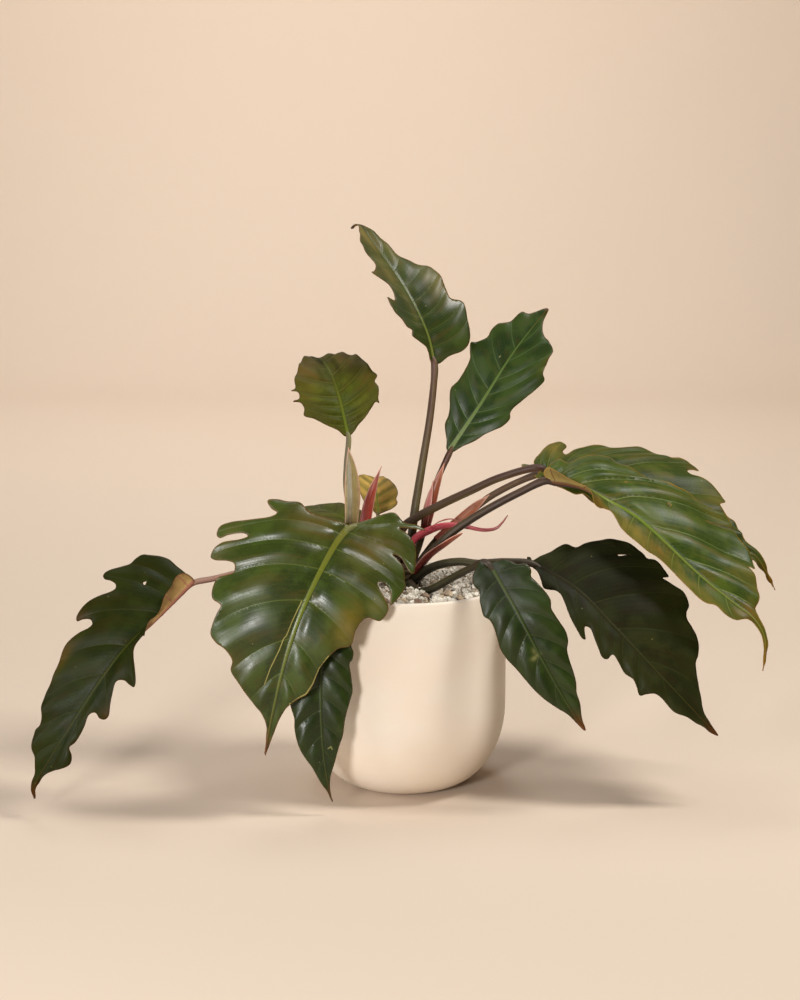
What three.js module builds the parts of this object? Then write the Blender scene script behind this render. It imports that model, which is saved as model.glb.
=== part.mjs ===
// Potted philodendron: a cream ceramic planter with soil, pumice, a short stem, stalks, leaves and sheaths.
// Millimetres, +Z up. The origin is the middle of the planter's flat foot, and the plant faces -Y.
import * as THREE from 'three';
import { mergeVertices } from 'three/addons/utils/BufferGeometryUtils.js';

// Driving dimensions of the planter and what fills it
const planterHeight = 200;
const planterRadius = 98;
const footRadius = 40;
const roundHeight = 80;
const wallThickness = 5;
const floorThickness = 8;
const lipRadius = 2;
const gravelTop = 196;
const gravelBottom = 182;
const stemRadius = 11;
const stemTop = 220;
const stemBottom = 118;
const seatGap = 0.3;

// Driving dimensions of the plant
const bladeThickness = 1.2;
const sheathThickness = 1.0;
const rowSpacing = 5;
const basalRows = 5;
const bladeColumns = 3;
const tubeSides = 8;

const finishes = {
  ceramic: [0xe6d3bd, 0.55],
  pumice: [0xd8d2c6, 0.95],
  soil: [0x3a2a1e, 1.0],
  stem: [0x5b4a2c, 0.8],
  darkStalk: [0x4a3029, 0.5],
  greenStalk: [0x5d5a34, 0.5],
  greenLeaf: [0x35502a, 0.4],
  shadeLeaf: [0x26331a, 0.4],
  bronzeLeaf: [0x6b5c2e, 0.55],
  redSheath: [0xb5473c, 0.5],
  orangeSheath: [0xb0703a, 0.5],
  tanSheath: [0x9a8450, 0.55],
  pinkShoot: [0xc2505a, 0.45],
};

function finish(name) {
  const [color, roughness] = finishes[name];
  return new THREE.MeshStandardMaterial({ color, roughness, metalness: 0 });
}

const plant = new THREE.Group();

function place(name, geometry, finishName) {
  const mesh = new THREE.Mesh(geometry, finish(finishName));
  mesh.name = name;
  plant.add(mesh);
}

// Planter, soil, gravel and stem are all turned round the same upright axis

// A quarter ellipse of the rounded bottom, from the foot up to the straight side
function roundProfile(foot, radius, bottom, top, steps) {
  const points = [];
  for (let i = 0; i <= steps; i += 1) {
    const turn = (Math.PI / 2) * (1 - i / steps);
    const x = foot + (radius - foot) * Math.cos(turn);
    const z = top - (top - bottom) * Math.sin(turn);
    points.push(new THREE.Vector2(x, z));
  }
  return points;
}

// Turns a profile of radius and height round +Z
function turned(points, segments) {
  const geometry = new THREE.LatheGeometry(points, segments);
  geometry.rotateX(Math.PI / 2);
  return weld(geometry);
}

// Keeps only the positions and joins the vertices that coincide
function weld(geometry) {
  geometry.deleteAttribute('normal');
  geometry.deleteAttribute('uv');
  const joined = mergeVertices(geometry, 0.0005);
  return dropSlivers(joined);
}

function dropSlivers(geometry) {
  const index = geometry.getIndex().array;
  const kept = [];
  for (let i = 0; i < index.length; i += 3) {
    const [a, b, c] = [index[i], index[i + 1], index[i + 2]];
    if (a !== b && b !== c && c !== a) {
      kept.push(a, b, c);
    }
  }
  geometry.setIndex(kept);
  geometry.computeVertexNormals();
  return geometry;
}

function planter() {
  const innerRadius = planterRadius - wallThickness;
  const innerFoot = footRadius - wallThickness;
  const outside = roundProfile(footRadius, planterRadius, 0, roundHeight, 9);
  const inside = roundProfile(innerFoot, innerRadius, floorThickness, roundHeight, 8).reverse();
  const profile = [
    new THREE.Vector2(0, 0),
    ...outside,
    new THREE.Vector2(planterRadius, planterHeight - lipRadius),
    new THREE.Vector2(planterRadius - lipRadius, planterHeight),
    new THREE.Vector2(innerRadius + lipRadius / 2, planterHeight),
    new THREE.Vector2(innerRadius, planterHeight - lipRadius / 2),
    ...inside,
    new THREE.Vector2(0, floorThickness),
  ];
  return turned(profile, 48);
}

// The soil follows the inside of the planter and leaves a socket for the root crown
function pottingSoil() {
  const radius = planterRadius - wallThickness - seatGap;
  const foot = footRadius - wallThickness - seatGap;
  const socket = stemRadius + seatGap;
  const bottom = floorThickness + seatGap;
  const profile = [
    new THREE.Vector2(0, bottom),
    ...roundProfile(foot, radius, bottom, roundHeight, 8),
    new THREE.Vector2(radius, gravelBottom - seatGap),
    new THREE.Vector2(socket, gravelBottom - seatGap),
    new THREE.Vector2(socket, stemBottom - seatGap),
    new THREE.Vector2(0, stemBottom - seatGap),
  ];
  return turned(profile, 40);
}

function gravelDressing() {
  const radius = planterRadius - wallThickness - seatGap;
  const socket = stemRadius + seatGap;
  const profile = [
    new THREE.Vector2(socket, gravelBottom),
    new THREE.Vector2(radius, gravelBottom),
    new THREE.Vector2(radius, gravelTop - 1),
    new THREE.Vector2(radius - 4, gravelTop),
    new THREE.Vector2(socket, gravelTop),
    new THREE.Vector2(socket, gravelBottom),
  ];
  return turned(profile, 40);
}

function stem() {
  const profile = [
    new THREE.Vector2(0, stemBottom),
    new THREE.Vector2(stemRadius - 3, stemBottom),
    new THREE.Vector2(stemRadius, stemBottom + 6),
    new THREE.Vector2(stemRadius, stemTop - 5),
    new THREE.Vector2(stemRadius - 4, stemTop - 1),
    new THREE.Vector2(0, stemTop),
  ];
  return turned(profile, 20);
}

// Stalks are round tubes along a curve through the points of their route

function route(points) {
  const vectors = points.map((point) => new THREE.Vector3(...point));
  return new THREE.CatmullRomCurve3(vectors, false, 'centripetal');
}

function roundSection(radius) {
  const shape = new THREE.Shape();
  for (let i = 0; i < tubeSides; i += 1) {
    const turn = (2 * Math.PI * i) / tubeSides;
    const x = radius * Math.cos(turn);
    const y = radius * Math.sin(turn);
    if (i === 0) {
      shape.moveTo(x, y);
    } else {
      shape.lineTo(x, y);
    }
  }
  shape.closePath();
  return shape;
}

// A tube of one section, drawn in or out along its route to taper from one radius to another
function stalk(points, radiusAtCrown, radiusAtLeaf, steps) {
  const curve = route(points);
  const geometry = new THREE.ExtrudeGeometry(roundSection(1), {
    steps,
    bevelEnabled: false,
    extrudePath: curve,
  });
  const rings = curve.getSpacedPoints(steps);
  const position = geometry.getAttribute('position');
  const corner = new THREE.Vector3();
  for (let i = 0; i < position.count; i += 1) {
    corner.fromBufferAttribute(position, i);
    const ring = nearest(rings, corner);
    const radius = radiusAtCrown + (radiusAtLeaf - radiusAtCrown) * (ring / steps);
    corner.sub(rings[ring]).multiplyScalar(radius).add(rings[ring]);
    position.setXYZ(i, corner.x, corner.y, corner.z);
  }
  return weld(geometry);
}

function nearest(points, place) {
  let best = 0;
  points.forEach((point, i) => {
    if (point.distanceTo(place) < points[best].distanceTo(place)) {
      best = i;
    }
  });
  return best;
}

// Blades. A blade is drawn flat, in millimetres along its midrib and outwards from it, then bent.
// Each side is a list of [where a side vein leaves the midrib, how far the blade reaches along it].
// A negative first number is a vein behind the base, turned back by that many degrees.

// The value at x, from 0 at the base to 1 at the tip, of a list spread evenly along the blade
function along(list, x) {
  const step = Math.min(Math.max(x, 0), 1) * (list.length - 1);
  const i = Math.min(Math.floor(step), list.length - 2);
  return list[i] + (list[i + 1] - list[i]) * (step - i);
}

function reachAt(side, q) {
  const last = side.length - 1;
  if (q <= side[0][0]) {
    return side[0][1];
  }
  for (let i = 1; i <= last; i += 1) {
    if (q <= side[i][0]) {
      const [q0, r0] = side[i - 1];
      const [q1, r1] = side[i];
      return r0 + ((r1 - r0) * (q - q0)) / Math.max(q1 - q0, 0.001);
    }
  }
  return side[last][1];
}

// Position, direction, outward normal and right hand of the midrib at a distance from the base
function midribFrame(blade, s) {
  const length = blade.length;
  const u = Math.min(Math.max(s / length, 0), 1);
  const centre = blade.curve.getPointAt(u);
  const ahead = blade.curve.getPointAt(Math.min(u + 0.02, 1));
  const behind = blade.curve.getPointAt(Math.max(u - 0.02, 0));
  const tangent = ahead.sub(behind).normalize();
  const normal = new THREE.Vector3(
    along(blade.face.map((hint) => hint[0]), u),
    along(blade.face.map((hint) => hint[1]), u),
    along(blade.face.map((hint) => hint[2]), u),
  );
  normal.addScaledVector(tangent, -normal.dot(tangent)).normalize();
  const right = new THREE.Vector3().crossVectors(tangent, normal);
  return { centre, tangent, normal, right, u };
}

// Bends the flat point s along, w across into space. side is 1 on the right and -1 on the left.
function bend(blade, side, s, w) {
  const frame = midribFrame(blade, s);
  const fold = THREE.MathUtils.degToRad(along(side > 0 ? blade.foldRight : blade.foldLeft, frame.u));
  const curlList = side > 0 ? blade.curlRight : blade.curlLeft;
  const curl = THREE.MathUtils.degToRad(along(curlList, frame.u) / 10) || 1e-5;
  const out = (Math.sin(fold) - Math.sin(fold - curl * w)) / curl;
  const up = (Math.cos(fold - curl * w) - Math.cos(fold)) / curl;
  const past = s - frame.u * blade.length;
  const point = frame.centre.clone();
  point.addScaledVector(frame.tangent, past);
  point.addScaledVector(frame.right, side * out);
  point.addScaledVector(frame.normal, up);
  return point;
}

// The point r outwards along the side vein that leaves the midrib at q
function veinPoint(blade, side, q, r) {
  const [first, last] = side > 0 ? blade.angleRight : blade.angleLeft;
  const sweep = THREE.MathUtils.degToRad(side > 0 ? blade.sweepRight : blade.sweepLeft);
  const start = Math.max(q, 0);
  const degrees = q >= 0 ? first + ((last - first) * q) / blade.length : first - q;
  const angle = THREE.MathUtils.degToRad(degrees);
  const s = start + (Math.sin(angle) - Math.sin(angle - sweep * r)) / sweep;
  const w = (Math.cos(angle - sweep * r) - Math.cos(angle)) / sweep;
  return bend(blade, side, s, Math.max(w, 0));
}

// How far a corner of an outline stands out from the straight line between its neighbours
function sharpness(outline, i) {
  const [before, here, after] = [outline[i - 1], outline[i], outline[i + 1]];
  const share = (here[0] - before[0]) / Math.max(after[0] - before[0], 0.001);
  return Math.abs(here[1] - before[1] - (after[1] - before[1]) * share);
}

// Both sides share their rows ahead of the base, so that they meet along the midrib. The sharpest
// corners of the two outlines come first, and a row closer to a kept one than the spacing is left out.
function sharedRows(blade) {
  const rows = [0, blade.length];
  const corners = [];
  [blade.right, blade.left].forEach((outline) => {
    for (let i = 1; i + 1 < outline.length; i += 1) {
      if (outline[i][0] > 0) {
        corners.push([outline[i][0], sharpness(outline, i)]);
      }
    }
  });
  corners.sort((a, b) => b[1] - a[1]);
  corners.forEach(([q]) => {
    if (rows.every((row) => Math.abs(row - q) >= blade.spacing)) {
      rows.push(q);
    }
  });
  return rows.sort((a, b) => a - b);
}

// Rows of one side, each from the midrib out to the margin
function bladeSide(blade, side, columns) {
  const outline = side > 0 ? blade.right : blade.left;
  const first = Math.min(outline[0][0], 0);
  const stations = [];
  for (let i = 0; i < basalRows && first < 0; i += 1) {
    stations.push(first * (1 - i / basalRows));
  }
  stations.push(...sharedRows(blade));
  return stations.map((q) => {
    const reach = Math.max(reachAt(outline, q), 0.8);
    const row = [];
    for (let j = 0; j <= columns; j += 1) {
      row.push(veinPoint(blade, side, q, (reach * j) / columns));
    }
    return row;
  });
}

// Joins the two sides into one sheet of triangles and gives it its thickness
function sheet(blade, thickness, columns) {
  const corners = [];
  const keys = new Map();
  const number = (point) => {
    const key = point.toArray().map((value) => Math.round(value * 100)).join(' ');
    if (!keys.has(key)) {
      keys.set(key, corners.length);
      corners.push(point);
    }
    return keys.get(key);
  };
  const faces = [];
  const addFace = (a, b, c) => {
    if (a !== b && b !== c && c !== a) {
      faces.push([a, b, c]);
    }
  };
  [1, -1].forEach((side) => {
    const grid = bladeSide(blade, side, columns).map((row) => row.map(number));
    for (let i = 0; i + 1 < grid.length; i += 1) {
      for (let j = 0; j < columns; j += 1) {
        const [a, b, c, d] = [grid[i][j], grid[i][j + 1], grid[i + 1][j + 1], grid[i + 1][j]];
        if (side > 0) {
          addFace(a, b, c);
          addFace(a, c, d);
        } else {
          addFace(a, c, b);
          addFace(a, d, c);
        }
      }
    }
  });
  return thicken(corners, faces, thickness);
}

// Two copies of a sheet, half the thickness to each side, closed by a strip round the margin
function thicken(corners, faces, thickness) {
  const normals = corners.map(() => new THREE.Vector3());
  faces.forEach(([a, b, c]) => {
    const ab = corners[b].clone().sub(corners[a]);
    const ac = corners[c].clone().sub(corners[a]);
    const normal = ab.cross(ac);
    [a, b, c].forEach((i) => normals[i].add(normal));
  });
  const positions = [];
  [0.5, -0.5].forEach((half) => {
    corners.forEach((corner, i) => {
      const shifted = corner.clone().addScaledVector(normals[i].clone().normalize(), half * thickness);
      positions.push(...shifted.toArray());
    });
  });
  const under = corners.length;
  const index = [];
  const edges = new Map();
  faces.forEach(([a, b, c]) => {
    index.push(a, b, c);
    index.push(under + a, under + c, under + b);
    [[a, b], [b, c], [c, a]].forEach(([from, to]) => {
      if (edges.has(`${to} ${from}`)) {
        edges.delete(`${to} ${from}`);
      } else {
        edges.set(`${from} ${to}`, [from, to]);
      }
    });
  });
  edges.forEach(([from, to]) => {
    index.push(from, under + from, under + to);
    index.push(from, under + to, to);
  });
  const geometry = new THREE.BufferGeometry();
  geometry.setAttribute('position', new THREE.Float32BufferAttribute(positions, 3));
  geometry.setIndex(index);
  geometry.computeVertexNormals();
  return geometry;
}

function bladeSolid(blade) {
  blade.curve = route(blade.rib);
  blade.length = blade.curve.getLength();
  blade.spacing = rowSpacing;
  return sheet(blade, bladeThickness, bladeColumns);
}

// A sheath is a narrow pointed sheet bent round the stalk that it once covered
function sheathSolid(sheath) {
  const blade = {
    rib: sheath.rib,
    face: sheath.face,
    foldRight: [0, 0],
    foldLeft: [0, 0],
    curlRight: [sheath.wrap, sheath.wrap],
    curlLeft: [sheath.wrap, sheath.wrap],
    angleRight: [90, 90],
    angleLeft: [90, 90],
    sweepRight: 0.02,
    sweepLeft: 0.02,
  };
  blade.curve = route(blade.rib);
  blade.length = blade.curve.getLength();
  blade.spacing = 2;
  const outline = [[0, sheath.foot], [0.3, 0.97], [0.5, 0.88], [0.65, 0.72], [0.8, 0.48], [0.92, 0.22], [1, 0.1]];
  blade.right = outline.map(([far, wide]) => [far * blade.length, wide * sheath.halfWidth]);
  blade.left = blade.right;
  return sheet(blade, sheathThickness, 2);
}

const stalks = {
  petiole_top: {
    route: [[2.7, 5.7, 219.6], [6, 9, 238], [9, 12, 264], [15, 14, 302], [25, 19, 365], [28.2, 22.2, 409.6]],
    radii: [4.4, 3.2], steps: 14, colour: 'darkStalk',
  },
  petiole_upper_right: {
    route: [[5.7, 13.3, 213], [14, 18, 233], [24, 19, 270], [31, 22, 294], [43.9, 25.2, 323.1]],
    radii: [3.6, 2.8], steps: 10, colour: 'darkStalk',
  },
  petiole_upper_left: {
    route: [[-12.6, -6, 212], [-29, -14, 236], [-49, -20, 264], [-56, -18, 293], [-56, -15, 317],
      [-53.8, -9.5, 342.5]],
    radii: [3.6, 2.4], steps: 12, colour: 'greenStalk',
  },
  petiole_small_back: {
    route: [[-3.5, 12.9, 208], [-11, 28, 227], [-20, 40, 242], [-26.6, 48.8, 255.7]],
    radii: [2.6, 1.8], steps: 7, colour: 'greenStalk',
  },
  petiole_large_front: {
    route: [[-7.2, -12.4, 209.5], [-19, -34, 233], [-31, -56, 257], [-47, -78.8, 269.3]],
    radii: [4.4, 3.6], steps: 9, colour: 'greenStalk',
  },
  petiole_lower_left: {
    route: [[-9, -9.2, 200], [-29, -45, 219], [-50, -72, 228], [-66.3, -90.1, 213.9]],
    radii: [3.4, 3.0], steps: 10, colour: 'greenStalk',
  },
  petiole_far_left: {
    route: [[-12.8, -2.3, 202], [-62, -20, 225], [-109, -36, 229], [-156, -50, 220], [-181, -56, 215],
      [-199.3, -59.2, 211.8]],
    radii: [4.0, 2.8], steps: 14, colour: 'darkStalk',
  },
  petiole_right_front: {
    route: [[11, -4.4, 215], [43, -8, 248], [72, -12, 269], [110, -17, 291], [134.4, -20.5, 302.6]],
    radii: [4.4, 3.8], steps: 12, colour: 'darkStalk',
  },
  petiole_right_rear: {
    route: [[-6.2, 0, 219.7], [-8, -1, 238], [-1, -1, 254], [13, 0, 264], [34, 6, 274], [63, 10, 287],
      [92, 11, 300], [129.2, 7.6, 309.9]],
    radii: [4.4, 3.6], steps: 15, colour: 'darkStalk',
  },
  petiole_right_inner: {
    route: [[12.5, 5.7, 213.2], [28, 14, 234], [44, 18, 250], [63, 21, 264], [83, 23, 279], [112, 25, 294],
      [130.7, 26.2, 300.3]],
    radii: [3.8, 3.2], steps: 14, colour: 'darkStalk',
  },
  petiole_lower_right: {
    route: [[12.1, -6.6, 201], [32, -22, 217], [50, -32, 224], [68, -39, 226], [95, -45, 229],
      [119.5, -48.3, 227.9]],
    radii: [4.6, 3.4], steps: 13, colour: 'darkStalk',
  },
  petiole_front_right: {
    route: [[3.3, -12.6, 202], [19, -27, 203], [42, -43, 212], [62, -64, 228], [74.4, -82.2, 236.1]],
    radii: [4.2, 3.4], steps: 10, colour: 'darkStalk',
  },
  petiole_edge_on: {
    route: [[-13.3, 3.7, 213], [-22, 10, 227], [-36, 15, 242], [-51.9, 19.6, 251.2]],
    radii: [3.0, 2.0], steps: 8, colour: 'greenStalk',
  },
};

const shoot = {
  route: [[3, -5, 220.5], [5, -3, 232], [10, 0, 242], [26, 2, 251], [43, 3, 255], [59, 3, 253], [76, 2, 250],
    [88, 1, 252], [94, 0, 258], [99, 0, 265]],
  radii: [3.6, 0.8], steps: 20,
};

const sheaths = {
  sheath_upper_left: {
    rib: [[-50.9, -26.8, 262], [-49.9, -25.8, 285], [-50.9, -21.8, 308], [-53.9, -16.8, 334]],
    face: [[0.1, -1, 0.1], [0, -1, 0.1]], halfWidth: 9, foot: 0.8, wrap: 60, colour: 'tanSheath',
  },
  sheath_bare_red: {
    rib: [[-12.8, -0.6, 211], [-26, -6, 232], [-38, -2, 250], [-36, 4, 271], [-28.5, 9, 296], [-22.5, 12, 311]],
    face: [[-0.6, -0.6, 0.5], [0, -1, 0.2], [0.2, -1, 0.1]],
    halfWidth: 8, foot: 0.25, wrap: 90, colour: 'redSheath',
  },
  sheath_upper_right: {
    rib: [[19.2, 13.7, 244.7], [22.2, 14.2, 261.7], [28.2, 15.7, 284.7], [38.2, 20.2, 312.7]],
    face: [[0.1, -1, 0.1], [0.1, -1, 0.1]], halfWidth: 6.5, foot: 0.8, wrap: 70, colour: 'orangeSheath',
  },
  sheath_small_pink: {
    rib: [[19.3, 11.5, 253.4], [21.8, 12.5, 269.4], [27.3, 14.5, 296.4]],
    face: [[-0.3, -0.9, 0.1], [-0.3, -0.9, 0.1]], halfWidth: 3.5, foot: 0.8, wrap: 80, colour: 'redSheath',
  },
  sheath_orange: {
    rib: [[30.9, 9.6, 237.6], [46.9, 12.6, 250.6], [65.9, 15.6, 268.6], [81.9, 18.6, 281.6]],
    face: [[0.2, -0.9, 0.4], [0.2, -0.9, 0.4]], halfWidth: 7, foot: 0.8, wrap: 70, colour: 'orangeSheath',
  },
  sheath_lower_red: {
    rib: [[9.5, -14.7, 210.5], [24.5, -15.7, 226.5], [41.5, -16.7, 239.5], [60.5, -16.7, 251.5]],
    face: [[0.4, -0.6, -0.6], [0.4, -0.6, -0.6]], halfWidth: 8, foot: 0.8, wrap: 60, colour: 'redSheath',
  },
};

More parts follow.
